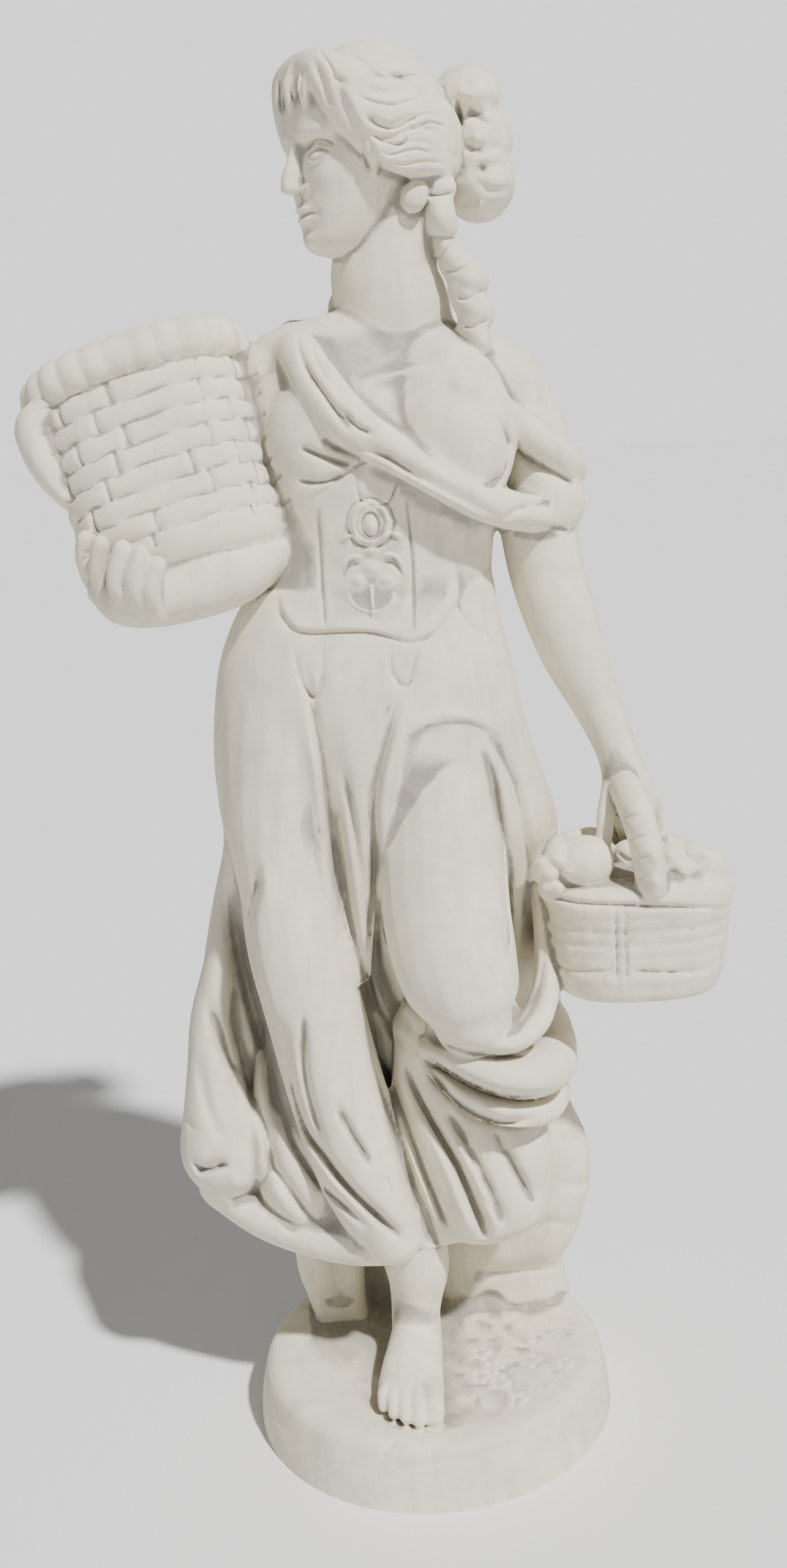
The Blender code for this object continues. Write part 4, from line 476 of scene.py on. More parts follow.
FOLDS = [
    # Down the middle: the deep valley beside the standing leg, the thigh's own edge and the panel
    # between them.
    ("edge", [(-9.4, 86), (-8.8, 79), (-8.5, 72), (-8, 65), (-6.8, 57.4), (-5.2, 49),
        (-4.4, 42)], 1.6, -1.5),
    ("groove", [(-10, 90), (-9.2, 83), (-8.8, 78), (-8.4, 71), (-7.6, 64)], 1, 1),
    ("groove", [(-8.2, 74), (-7.4, 66), (-6.4, 58), (-5.2, 50), (-4.4, 41.5), (-2.8, 32.6)], 1.5, 1.6),
    ("groove", [(-4.8, 44), (-3.2, 34.6), (-1.4, 26.4), (0.2, 21), (2, 17)], 1.5, 2.6),
    ("edge", [(0.9, 86), (-1, 80.5), (-2.9, 73.7), (-3.5, 66), (-3.8, 60), (-2.9, 53), (-1.4, 48),
        (1.6, 44)], 1.4, 1.2),
    ("groove", [(-3, 72), (-3.9, 64), (-4.3, 57.4), (-3.8, 52), (-2.4, 47)], 1.2, 1.2),
    ("groove", [(-6.6, 80), (-5.7, 72), (-5.2, 66), (-4.9, 60), (-5.4, 53)], 0.9, 0.6),
    # The raised thigh: the strained line over its top and the two long folds down its right.
    ("ridge", [(-1.4, 77), (0.6, 80.4), (3.6, 82), (6.5, 82.2), (9.4, 81.2), (12.4, 78.4)], 1.1, 0.4),
    ("groove", [(8.6, 79.4), (9.8, 75), (10.6, 68.7), (11.1, 62), (11, 57), (10.5, 52)], 1.1, 1.2),
    ("groove", [(8.6, 82), (11.2, 77), (12.8, 72), (13.6, 66), (14.6, 58)], 1.2, 0.8),
    ("groove", [(-5.4, 54.6), (-4.4, 49.6), (-2.8, 46), (-0.9, 43)], 0.9, 0.8),
    # Round the knee: the two deep lines between the rolls and the line under them.
    ("groove", [(0.2, 45.8), (4.1, 43.8), (8, 42.6), (12.4, 42.3), (15.8, 43.5)], 1.2, 1.1),
    ("groove", [(0, 43.8), (2.9, 41.1), (7.9, 38), (13.2, 36.9), (16.6, 38.2)], 1.3, 1.7),
    ("groove", [(0.5, 42.6), (2.5, 39.3), (5, 36.3), (10, 34), (15, 34.8)], 1.4, 1.5),
    # The fan under the knee: rounded folds that spread from the knee to the hem.
    ("groove", [(-4.6, 44), (-2.7, 38.3), (-0.8, 31.6), (1.5, 24), (3.4, 18)], 1.2, 1.7),
    ("groove", [(-2.3, 44), (0.6, 36), (4, 28.8), (6, 23), (7.4, 17.6)], 1.3, 2.2),
    ("groove", [(2.2, 38.4), (5.4, 31), (7.4, 26), (9.6, 19.6)], 1.2, 1.4),
    ("groove", [(7, 36), (9.8, 29.8), (12.8, 23.4)], 1.4, 1.1),
    ("ridge", [(-1, 40), (1.6, 32), (4, 24), (5.4, 19.6)], 1.2, 0.7),
    ("ridge", [(2, 37), (5.6, 29), (7.6, 23.4), (9, 20)], 1.1, 0.6),
    # The standing leg's knee folds and the long grooves that sweep down to the left hem.
    ("edge", [(-16, 68), (-16.6, 64), (-17.8, 59.5), (-17.6, 54), (-16.6, 49), (-15.6, 44)], 1.2, 0.9),
    ("groove", [(-12.6, 50), (-13, 42.4), (-12.6, 38), (-10.8, 31.6)], 1.1, 0.9),
    ("groove", [(-15.4, 46), (-13.8, 36), (-11.3, 31), (-8.8, 27), (-5.4, 22.9), (-1.6, 18.6)], 1.2, 2.2),
    ("groove", [(-16.4, 39), (-14.9, 32.8), (-12.4, 28), (-10, 25.3), (-5.6, 20.2)], 1.2, 1.2),
    ("groove", [(-18.2, 33), (-16.2, 27.6), (-13, 22.6)], 1.4, 1),
    ("groove", [(-20, 28), (-17.6, 24.6), (-14.4, 21)], 1.2, 0.6),
    ("groove", [(-9.8, 38), (-7.8, 33.3), (-5.6, 28.6)], 0.9, 0.7),
    # The flap at the left: its rolled front edge, the crease at the outline and its own hanging folds.
    ("groove", [(-19.8, 68), (-19.4, 58), (-18.6, 51), (-17.2, 44), (-16.6, 38), (-15.6, 33)], 1.9, 2.3),
    ("edge", [(-24, 27), (-21.6, 27), (-19.2, 28.4), (-18.1, 32), (-18.9, 37), (-20.4, 42),
        (-21.6, 47)], 1.4, 1.3),
    ("groove", [(-23.4, 52), (-22.4, 46.5), (-21, 41), (-20.2, 36)], 1.3, 0.9),
    ("groove", [(-27, 31.6), (-25, 30.2), (-22.4, 31)], 0.9, 1.3),
    ("groove", [(-25, 45), (-24.4, 38), (-22.6, 33)], 1.3, 0.6),
    # The chest: pleats gathered into the scarf, the scarf's own lines, and the bodice's top edge.
    ("groove", [(-8.3, 121.6), (-7.5, 119), (-6.3, 117), (-4.1, 113.7), (-3, 112.4)], 0.7, 0.7),
    ("groove", [(-4.6, 115.4), (-2.8, 113.1), (-0.8, 112)], 0.6, 0.5),
    ("edge", [(13, 101.9), (10.3, 103.3), (7.2, 105.4), (2.6, 108), (-1.1, 110.2),
        (-4.8, 112.4)], 1, 0.7),
    ("groove", [(-9, 111.4), (-6.9, 110.4), (-3.2, 108.8)], 0.7, 0.6),
    ("groove", [(-6.7, 112.1), (-4.6, 110.8), (-1.9, 109.6)], 0.6, 0.5),
    ("groove", [(-9.6, 108), (-7.1, 107.6), (-3.9, 108.5)], 0.7, 0.6),
    # The breast and the sleeve.
    ("groove", [(11.6, 114), (12.7, 110.8), (12.2, 107.6), (9.6, 106)], 0.9, 0.7),
    ("groove", [(12.2, 111.4), (15.3, 108.6), (18.1, 107), (20.2, 105.4)], 1, 1),
    ("groove", [(11.8, 102.4), (13.2, 103.4), (15.1, 104.1), (17.4, 104)], 0.8, 0.7),
    # The bodice's lower edge and its two tabs.
    ("edge", [(-12.2, 97), (-12, 94.5), (-11, 92.6), (-9.4, 91.9), (-3.2, 91.6),
        (2.5, 90.4)], 0.8, 0.45),
    ("edge", [(1.5, 90.4), (4.3, 91), (5.9, 92.8), (6.9, 95.4), (6.7, 98.8)], 0.8, 0.4),
]
figure = merged("figure", skirt() + torso() + arms(), BODY_VOXEL, BODY_SOFTNESS)
carve(figure, FOLDS)

# The head: a plain oval face, with wavy hair swept back to a knot and a plait that falls on the shoulder.
# It is laid out in its own frame: towards her face, across it and up, from the head's centre.
HEAD_CENTRE = np.array([-1.0, -1.0, 139.2])
HEAD_TURN = math.radians(60)
HEAD_NOD = math.radians(4)


def in_head(forward, side, up):
    """A point given from the head's centre: towards her face, towards the spectator's right, and up."""
    level = forward * math.cos(HEAD_NOD) + up * math.sin(HEAD_NOD)
    height = up * math.cos(HEAD_NOD) - forward * math.sin(HEAD_NOD)
    ahead = np.array([-math.sin(HEAD_TURN), -math.cos(HEAD_TURN), 0.0])
    across = np.array([math.cos(HEAD_TURN), -math.sin(HEAD_TURN), 0.0])
    return HEAD_CENTRE + ahead * level + across * side + np.array([0, 0, height])


def head_ball(name, forward, side, up, radii, lean=0.0):
    """An ellipsoid with its radii along her face's direction, across it and up."""
    return ball(name, in_head(forward, side, up), radii, turn=-90 - math.degrees(HEAD_TURN), lean=lean)


def head_tube(name, stations, sides=12, deep_axis=(0, 0, 1)):
    """A tube through (forward, side, up, half width, half depth)."""
    return tube(name, [(*in_head(*st[:3]), *st[3:]) for st in stations], sides=sides, deep_axis=deep_axis)


def face_view(points):
    """How someone facing her sees layout points: how far to her left and how high, in units from the
    head's centre. Only the front of the head is in this view."""
    ahead, across, up = (in_head(*axis) - HEAD_CENTRE for axis in ((1, 0, 0), (0, 1, 0), (0, 0, 1)))
    off = points - HEAD_CENTRE
    seen_at = np.stack([off @ across, off @ up], -1)
    seen_at[(off @ ahead < 0) | (np.abs(off).max(1) > 12)] = 1000.0
    return seen_at, np.tile(ahead, (len(points), 1))


def face():
    """A plain oval face with a straight nose."""
    a = np.arange(36) * 2 * math.pi / 36
    c, s = (np.sign(f) * np.abs(f) ** (2 / 2.25) for f in (np.cos(a), np.sin(a)))
    rings = []
    for up, front, back, half in smooth_line(
        [
            (-9.4, 4.4, 1.5, 1), (-8.8, 6, -0.5, 2.3), (-7.6, 6.7, -2.5, 3.4), (-5.8, 6.9, -4.5, 4.5),
            (-3.8, 7, -6.5, 5.3), (-1.8, 7, -8, 5.9), (0.2, 7, -9, 6.3), (2, 7.3, -9.4, 6.5),
            (4, 7.2, -9.2, 6.6), (6.2, 6, -8.4, 6.3), (8.2, 3.4, -6.4, 5), (9.6, 0.2, -3.4, 2.4),
        ],
        3,
    ):
        middle, reach = (front + back) / 2, (front - back) / 2
        rings.append([in_head(middle + reach * i, half * j, up) for i, j in zip(c, s)])
    ahead = in_head(1, 0, 0) - in_head(0, 0, 0)
    bridge = [
        (6.9, 0, 1.6, 0.5, 0.6), (7.4, 0, -0.2, 0.6, 0.8), (7.95, 0, -1.8, 0.75, 1),
        (8.1, 0, -2.6, 0.8, 1),
    ]
    return [
        skin("face", world(np.array(rings)).reshape(len(rings), 36, 3)),
        head_tube("nose", bridge, deep_axis=ahead),
    ]


FACE_SIDES = [
    ((2.7, 0.45), 1.5, 1, -0.95), ((2.75, -0.05), 1.15, 0.62, 0.8), ((2.7, 2), 2, 0.6, 0.35),
    ((3.7, -2), 1.7, 1.3, 0.35), ((0.85, -2.95), 0.45, 0.45, 0.55), ((1.9, -5.3), 0.4, 0.4, -0.15),
]
FACE_FORMS = [
    ((0, -4.7), 1.4, 0.42, 0.45), ((0, -5.2), 1.7, 0.16, -0.25), ((0, -5.75), 1.1, 0.45, 0.5),
    ((0, -6.6), 1.3, 0.45, -0.3), ((0, -7.9), 1.5, 1.1, 0.55),
    *(((side * u, w), *size) for side in (-1, 1) for (u, w), *size in FACE_SIDES),
]


def hair():
    """Smooth hair swept from the brow over both ears to the knot behind, with a few curls on the brow,
    a drop below the near ear and a plait that falls on the shoulder."""
    forms = [head_ball("hair_cap", -1.8, 0, 2.4, (8.3, 7.3, 8.3))]
    for side in (-1, 1):
        sweep = [
            (5, 0.8, 8.2, 1.6, 1.6), (4.9, 3.4, 7, 1.9, 2.2), (3.4, 5.6, 4.6, 2.1, 3.2),
            (0.6, 6.5, 2.2, 2.2, 4), (-2.6, 6.5, 1, 2.2, 4.3), (-6.2, 5, 0.4, 2.3, 4.2),
            (-8.4, 2.4, 0, 2.2, 3.6),
        ]
        path = [(forward, side * out, *rest) for forward, out, *rest in sweep]
        forms.append(head_tube(f"hair_sweep_{side}", path, sides=24))
    curls = [
        [(-6.4, 148.4, -4.0), (-7.3, 146.4, -4.8), (-7.6, 144.4, -4.6)],
        [(-5.0, 148.2, -5.6), (-5.9, 146.4, -6.6), (-6.1, 144.8, -6.6)],
        [(-7.4, 147.8, -1.6), (-8.4, 145.6, -1.8), (-8.4, 142.6, -1.6)],
    ]
    for i, path in enumerate(curls):
        stations = [(*place, r, r) for place, r in zip(path, (0.9, 0.9, 0.5))]
        forms.append(limb(f"curl_{i}", stations, sides=12))
    bun = [
        ball("bun_top", seen(9.9, 143.7, 3.4), (3.7, 4.6, 3.8), lean=20),
        ball("bun_middle", seen(10.6, 140.2, 3.6), (4.0, 4.8, 4.2)),
        ball("bun_bottom", seen(10.7, 136.7, 3.0), (4.0, 4.8, 4.4), lean=-15),
    ]
    drop = limb(
        "drop",
        [(5.0, 136.6, -4.2, 0.9, 0.9), (4.5, 135.6, -4.8, 1.35, 1.2), (4.2, 134.9, -5.0, 1.3, 1.2)],
    )
    plait = [
        limb("knot", [(6.3, 137.4, -3.4, 1.5, 1.6), (7.2, 136.0, -3.2, 1.5, 1.6)]),
        limb("plait_1", [(6.7, 135.0, -3.2, 1.5, 1.6), (7.0, 132.4, -3.0, 1.7, 1.7)]),
        limb("plait_2", [(7.0, 131.0, -2.6, 1.1, 1.3), (7.4, 129.8, -2.4, 1.2, 1.3)]),
        limb("plait_3", [(8.0, 128.8, -2.4, 1.6, 1.7), (9.6, 126.8, -2.8, 2.1, 2.0)]),
        limb("plait_4", [(8.6, 125.8, -3.0, 1.5, 1.7), (10.2, 123.6, -3.4, 1.9, 1.9)]),
        limb("plait_5", [(9.6, 122.6, -3.6, 1.6, 1.7), (10.4, 120.4, -3.8, 1.3, 1.4)]),
        ball("far_lock", seen(-3.7, 124.6, 4.6), (1.5, 1.9, 2.2)),
    ]
    return [*forms, *bun, drop, *plait]


HAIR_WAVES = [
    ("edge", [(-2.8, 147.2), (-2.3, 145.6), (-1.4, 143.6), (-0.4, 141.6), (0.9, 139.2),
        (2.4, 138.2)], 0.8, 0.5),
    ("edge", [(0.3, 140.2), (1.2, 138.8), (2.5, 137.8), (4.1, 137.4), (6.2, 137.3), (8.2, 137.3),
        (9.4, 137.6)], 0.9, 0.6),
    ("groove", [(-3.2, 147), (-2.3, 146.4), (-1.6, 146.2)], 0.6, 0.6),
    ("groove", [(-5.2, 149), (-4.4, 147.2), (-3.8, 145.4), (-3.4, 143.8)], 0.6, 0.6),
    ("groove", [(-1.6, 149.2), (0.2, 147.4), (2.4, 146.6), (5.2, 146.8)], 0.7, 0.7),
    ("groove", [(-0.8, 142), (0.6, 141.2), (2.4, 141), (4.2, 141.6), (6.2, 141.6), (8, 140.6)], 0.7, 0.6),
    ("groove", [(-0.2, 145.7), (1.4, 145.3), (3.4, 145.3), (6.5, 145.6)], 0.6, 0.5),
    ("groove", [(-0.4, 143.6), (0.8, 142.6), (2.4, 142.1), (3.9, 142.6), (5.2, 143.1)], 0.6, 0.6),
    ("groove", [(0.9, 139.9), (2.2, 139.9), (3.6, 140.3), (5.3, 140.5), (6.8, 139.4)], 0.6, 0.5),
    ("groove", [(0.4, 148.5), (2.6, 148.2), (4.6, 147.9), (6.2, 147)], 0.6, 0.35),
    ("groove", [(9.2, 145.6), (9.3, 142), (9.2, 139.2), (9.3, 136.4)], 0.7, 0.6),
    ("groove", [(-7.5, 148.2), (-7.7, 146.4), (-7.2, 144.8)], 0.4, 0.3),
    ("groove", [(9.7, 144.7), (10.8, 142.8), (13.3, 141)], 0.9, 0.6),
    ("groove", [(9.8, 140), (11.7, 139.2), (13.7, 140)], 0.9, 0.5),
    ("groove", [(10.2, 137.2), (12, 135.5), (14.4, 135.6)], 0.9, 0.5),
]
head = merged("head", face() + hair(), HEAD_VOXEL, HEAD_SOFTNESS)
press(head, FACE_FORMS, face_view)
carve(head, HAIR_WAVES)

# The creel on her right arm, woven and open at the top, with the forearm and the fingers that carry it.
# It leans, so it has its own frame: up its axis, across its width and through its depth.
CREEL_UP = unit((-0.25, 0.33, 0.91))
CREEL_DEEP = unit(np.array([0, 1, 0]) - CREEL_UP * CREEL_UP[1])
CREEL_WIDE = np.cross(CREEL_DEEP, CREEL_UP)
CREEL_FOOT = np.array(seen(-19.9, 97.2, -4.0))
CREEL_TALL = 24.6
CREEL_SQUARENESS = 2.9
RIM_LOBES = 30
RIM_LOBE_DEPTH = 0.35
RIM_HALF_HEIGHT = 2.1
RIM_PROUD = 1.4


def creel_size(height):
    """Half width and half depth at a height above the creel's foot."""
    return 10.6 + 0.04 * height, 8.2 + 0.085 * height


def creel_ring(height, inset, sides):
    a = np.arange(sides) * 2 * math.pi / sides
    c, s = (np.sign(f) * np.abs(f) ** (2 / CREEL_SQUARENESS) for f in (np.cos(a), np.sin(a)))
    wide, deep = (size - inset for size in creel_size(height))
    return (
        CREEL_FOOT
        + CREEL_UP * height
        + np.outer(c * wide, CREEL_WIDE)
        + np.outer(s * deep, CREEL_DEEP)
    )


CREEL_SIDES = 420
CREEL_GIRTH = 65.6
CREEL_PITCH = 2.25
JOINT_WIDTH = 0.24
JOINT_DEPTH = 0.14


def strand_ends(row, girth, pitch):
    """Where the strands of one row end, round the girth, and how far each stands out."""
    chance = np.random.default_rng(100 + row)
    ends = np.cumsum(chance.uniform(2.2, 4.2, math.floor(girth / (2.6 * pitch))) * pitch)
    ends = np.append(0, ends[ends < girth - pitch])
    return ends, chance.uniform(-0.25, 0.25, len(ends)), chance.uniform(0, 1)


def weave(turns, height, girth, pitch, depth):
    """Rows of strands laid like bricks: how far the skin stands out, at turns round the basket and a
    height."""
    row = math.floor(height / pitch)
    rise = 2 * (height / pitch - row) - 1
    ends, lifts, start = strand_ends(row, girth, pitch)
    place = (turns / (2 * math.pi) + start) % 1 * girth
    proud = depth * (1 - np.abs(rise) ** 2.6) + 0 * turns
    for i, end in enumerate(ends):
        far = np.abs((place - end + girth / 2) % girth - girth / 2)
        proud -= 0.8 * depth * np.exp(-((far / (0.13 * pitch)) ** 2))
        last = ends[i + 1] if i + 1 < len(ends) else girth
        proud += np.where((place >= end) & (place < last), lifts[i] * depth, 0)
    return proud


def creel():
    """The creel's wall with its woven strands, and the thick rim round it."""
    wall = CREEL_WALL / UNIT
    floor = CREEL_TALL - CREEL_HOLLOW_DEPTH / UNIT
    turns = np.arange(CREEL_SIDES) * 2 * math.pi / CREEL_SIDES
    foot_edge = ((0.0, 3.4), (0.6, 1.8), (1.6, 0.7), (2.4, 0.3))
    outside = [creel_ring(h, inset, CREEL_SIDES) for h, inset in foot_edge]
    for h in np.arange(2.8, CREEL_TALL - 0.6, 0.16):
        start = min(1.0, (h - 2.8) / 1.5)
        strands = weave(turns, h, CREEL_GIRTH, CREEL_PITCH, 0.3)
        outside.append(creel_ring(h, 0.25 - start * strands, CREEL_SIDES))
    top = [creel_ring(CREEL_TALL, inset, CREEL_SIDES) for inset in (0.6, wall - 0.4)]
    inside = []
    for h in np.arange(CREEL_TALL - 0.6, floor + 1.2, -0.2):
        strands = weave(turns, h, CREEL_GIRTH, CREEL_PITCH, 0.3)
        inside.append(creel_ring(h, wall - 0.6 * strands, CREEL_SIDES))
    inside.append(creel_ring(floor, wall + 1.2, CREEL_SIDES))
    rings = np.array(outside + top + inside)
    body = skin("creel_body", world(rings).reshape(-1, CREEL_SIDES, 3))
    rim = creel_rim(CREEL_TALL - 2.0, 0.3)
    return [body, rim]


def creel_joints(obj):
    """How near each vertex is to a joint between the creel's strands, from 0 to 1."""
    away = layout(coordinates(obj.data)) - CREEL_FOOT
    height, x, y = away @ CREEL_UP, away @ CREEL_WIDE, away @ CREEL_DEEP
    wide, deep = creel_size(height)
    c, s = (np.sign(f) * np.abs(f) ** (CREEL_SQUARENESS / 2) for f in (x / wide, y / deep))
    on_wall = (np.abs(np.hypot(c, s) - 1) < 0.2) & (height > 3.2) & (height < CREEL_TALL - 4.2)
    near = np.zeros(len(height))
    for row in range(math.floor(CREEL_TALL / CREEL_PITCH)):
        here = np.flatnonzero(on_wall & (np.floor(height / CREEL_PITCH) == row))
        ends, _, start = strand_ends(row, CREEL_GIRTH, CREEL_PITCH)
        place = (np.arctan2(s[here], c[here]) / (2 * math.pi) + start) % 1 * CREEL_GIRTH
        up = height[here] - row * CREEL_PITCH
        worn = 0.55 + 0.45 * np.sin(place * 1.7 + 2.1 * row)
        near[here] = np.exp(-((np.minimum(up, CREEL_PITCH - up) / JOINT_WIDTH) ** 2)) * worn
        for end in ends:
            far = np.abs((place - end + CREEL_GIRTH / 2) % CREEL_GIRTH - CREEL_GIRTH / 2)
            near[here] = np.maximum(near[here], np.exp(-((far / JOINT_WIDTH) ** 2)) * 0.9)
    return near


def creel_ear():
    """The ear at the creel's left, laid flat against its wall."""
    ear = limb("creel_ear", [
        (-34.2, 117, -3, 1.4, 2.4), (-36.1, 114.9, -3.4, 2, 3), (-35.7, 112.4, -3.8, 2.1, 3),
        (-34.7, 109.9, -4.2, 1.9, 2.8), (-33.5, 107.4, -4.6, 1.2, 2),
    ])
    return [ear]


def creel_rim(height, inset, sides=14, turns=260):
    """The rim: a border of upright loops, side by side."""
    centre = creel_ring(height, inset, turns)
    out = centre - (CREEL_FOOT + CREEL_UP * height)
    out /= np.linalg.norm(out, axis=1)[:, None]
    steps = np.linalg.norm(np.diff(centre, axis=0), axis=1)
    along = np.append(0, np.cumsum(steps)) / (steps.sum() + steps[0])
    lobe = 1 - RIM_LOBE_DEPTH * (1 - np.abs(np.sin(along * math.pi * RIM_LOBES)) ** 0.6)
    b = np.arange(sides) * 2 * math.pi / sides
    rings = (
        centre[:, None]
        + out[:, None] * (RIM_PROUD * np.cos(b))[None, :, None] * lobe[:, None, None]
        + CREEL_UP * (RIM_HALF_HEIGHT * np.sin(b))[None, :, None] * (0.5 + 0.5 * lobe)[:, None, None]
    )
    return skin("creel_rim", world(rings).reshape(turns, sides, 3), wheel=True)


def creel_hand():
    """The right forearm that comes from behind to carry the creel from below, and the fingers round its
    corner."""
    forearm = limb("forearm", [
        (-10.8, 101.8, -2, 1.7, 2.6), (-13.6, 100.2, -5.6, 2.9, 3.4), (-17.4, 98.5, -7.6, 3.6, 3.8),
        (-23.5, 97, -8.4, 3.5, 3.8), (-28, 96.8, -8.4, 3.3, 3.6), (-29.8, 97.6, -7.6, 2.4, 3),
    ], deep_axis=(0.2, 1, 0))
    fingers = [
        [(-29.4, 95.6, -8.6), (-31.0, 99.0, -10.2), (-30.5, 102.4, -11.2)],
        [(-27.6, 94.8, -10.0), (-29.3, 98.2, -12.0), (-28.3, 101.8, -12.6)],
        [(-26.2, 94.5, -10.6), (-27.4, 98.0, -12.6), (-26.4, 101.2, -13.0)],
        [(-24.9, 94.4, -10.6), (-25.6, 97.2, -12.4), (-24.7, 99.9, -12.8)],
        [(-31.8, 98.8, -7.6), (-32.3, 101.0, -8.6), (-32.0, 103.0, -9.2)],
    ]
    return [forearm] + [
        limb(f"creel_finger_{i}", [(*p, 1.05, 1.05) for p in path], sides=12)
        for i, path in enumerate(fingers)
    ]


# The fruit basket in her left hand, heaped with grapes and other fruit. The heap fills it, so it is solid,
# and a hoop over it is its handle.
BASKET_GIRTH = 62.0
BASKET_PITCH = 1.55
BASKET_WOVEN_FROM, BASKET_WOVEN_TO = 54.0, 61.4


def basket_weave(turns, z):
    if not BASKET_WOVEN_FROM < z < BASKET_WOVEN_TO:
        return 0 * turns
    return weave(turns, z - BASKET_WOVEN_FROM, BASKET_GIRTH, BASKET_PITCH, 0.24) - 0.1


def fruit_basket():
    """The oval basket's woven body, up to its thick rim."""
    woven = stack("fruit_basket", [
        (51.6, 17.2, 31.4, -9.6, 3.6), (52.2, 16, 33, -10.8, 4.8), (54, 15.4, 33.8, -11.4, 5.4),
        (59.6, 14.8, 34.6, -11.8, 6), (61, 14.8, 34.7, -12, 6.1), (62.6, 14.4, 35.1, -12.4, 6.4),
        (64.4, 15.2, 34.6, -11.8, 5.8), (65.2, 18, 32, -9, 3),
    ], squareness=2.8, steps=14, sides=300, relief=basket_weave)
    return [woven]


def fruit_and_hoop():
    """The heaped grapes and apples, the hoop that runs from front to back, and the hand that holds it."""
    hoop = tube("hoop", [
        (25.2, -11, 65, 2.3, 1.6), (24.8, -10.8, 69, 2.3, 1.7), (24, -8.8, 72.6, 2.2, 1.7),
        (23.6, -4, 74, 1.9, 1.7), (23.8, 0.6, 71.6, 1.7, 1.7), (24, 3.6, 66.5, 1.7, 1.7),
    ], deep_axis=(1, 0, 0))
    fruit = [
        ball("apple", seen(19.8, 64.8, -7.5), (3.1, 3.1, 2.8)),
        ball("apple_behind", seen(20.4, 66.4, -1.0), (2.6, 2.6, 2.2)),
        ball("pear", seen(29.4, 65.0, -1.0), (3.0, 2.6, 2.2)),
    ]
    near_grapes = [(15.4, 64.0), (16.2, 61.9), (17.0, 65.6), (28.2, 62.9), (30.6, 63.1)]
    near_grapes += [(33.2, 62.7), (29.4, 64.6)]
    far_grapes = [(16.6, 66.4), (18.6, 67.0), (31.6, 64.8), (33.6, 63.9), (27.2, 65.4), (24.6, 65.4)]
    places = [seen(u, w, -7.6) for u, w in near_grapes] + [seen(u, w, -2.4) for u, w in far_grapes]
    fruit += [ball(f"grape_{i}", place, (1.7, 1.7, 1.6)) for i, place in enumerate(places)]
    palm = [(24.8, 73.6, -2.2, 2.6, 1.8), (25.4, 70.4, -1.0, 2.7, 1.8), (25.6, 67.6, 1.0, 2.0, 1.5)]
    thumb = [(22.9, 73.0, -3.6, 1.1, 1.1), (22.2, 70.0, -5.6, 1.0, 1.0), (22.0, 67.6, -6.4, 0.9, 0.9)]
    hand = [limb("grip_palm", palm), limb("grip_thumb", thumb)]
    for i in range(2):
        finger = [(26.6 + i * 0.9, 72.6 - i, -2, 0.9, 1), (27.2 + i * 0.6, 69.4 - i, -1, 0.9, 1)]
        hand.append(limb(f"grip_finger_{i}", finger))
    return [hoop, *fruit, *hand]


# The ground: the standing foot, the rock behind it and the round base. The foot stands on the base's top,
# and the rock rises from it to under the skirt.


def foot():
    """The bare right foot and the ankle over it, seen below the hem."""
    shin = limb("ankle", [
        (-3, 26, -3, 4.2, 4.4), (-1.4, 17.5, -2, 3.9, 4), (-1.5, 13.5, -1.4, 3.2, 3.5),
        (-1.9, 9.6, -0.8, 2.9, 3.3), (-1.8, 7, -0.4, 3, 3.4),
    ])
    sole = tube("sole", [
        (-1.6, 1.6, 8.6, 2.6, 2.2), (-1.7, -2, 9.6, 2.9, 3.2), (-2.1, -6, 9.4, 3.2, 2.8),
        (-2.6, -9.6, 8.6, 3.6, 2.1), (-2.8, -12.6, 8, 3.8, 1.6),
    ], deep_axis=(0, 0, 1))
    toes = []
    toe_sizes = [(-0.3, -17.4, 1.15), (-2.0, -17.6, 0.85), (-3.4, -17.0, 0.8), (-4.7, -16.0, 0.75)]
    toe_sizes.append((-5.8, -14.6, 0.7))
    for i, (x, tip, thick) in enumerate(toe_sizes):
        path = [
            (x * 0.8 - 0.4, -11.0, 8.6, thick, thick), (x, (tip - 11) / 2, 8.6, thick, thick),
            (x, tip + thick, 7.6, thick, thick * 0.9),
        ]
        toes.append(tube(f"toe_{i}", path, sides=10, deep_axis=(0, 0, 1)))
    return [shin, sole, *toes]


def rock():
    """The layered rock under the raised foot, the stub at the left and the back that joins them."""
    right = stack("rock_right", [
        (5, -2, 17.8, 6, 18), (9, -1, 17.2, 6.2, 18), (12, -1, 17.2, 5.6, 17.6),
        (14.4, 0, 18.4, 4.6, 17.4), (18, 2, 19.4, 3.6, 17), (23, 3, 20.4, 2.4, 16.4),
        (27, 4, 20.3, 1.6, 15.8), (31, 5, 18.8, 1.2, 14.6), (34, 6, 17.6, 2, 13),
        (37, 8, 15, 4, 11),
    ], squareness=3.0)
    stub = stack("rock_stub", [
        (5, -13.6, -7, 4.4, 13), (8, -14.6, -7.6, 4.4, 13), (10, -15.2, -7.8, 4.8, 13),
        (13.4, -16, -7.8, 4.4, 12.6), (20, -16.2, -7.6, 4.4, 12.6), (27, -15, -7, 4.4, 12),
    ], squareness=4.5)
    back = stack("rock_back", [
        (5, -13, 10, 8.4, 18.4), (12, -12, 10, 8.6, 17.6), (20, -12, 10, 8, 16.4),
        (28, -12, 10, 7, 14),
    ], squareness=3.0)
    return [right, stub, back]


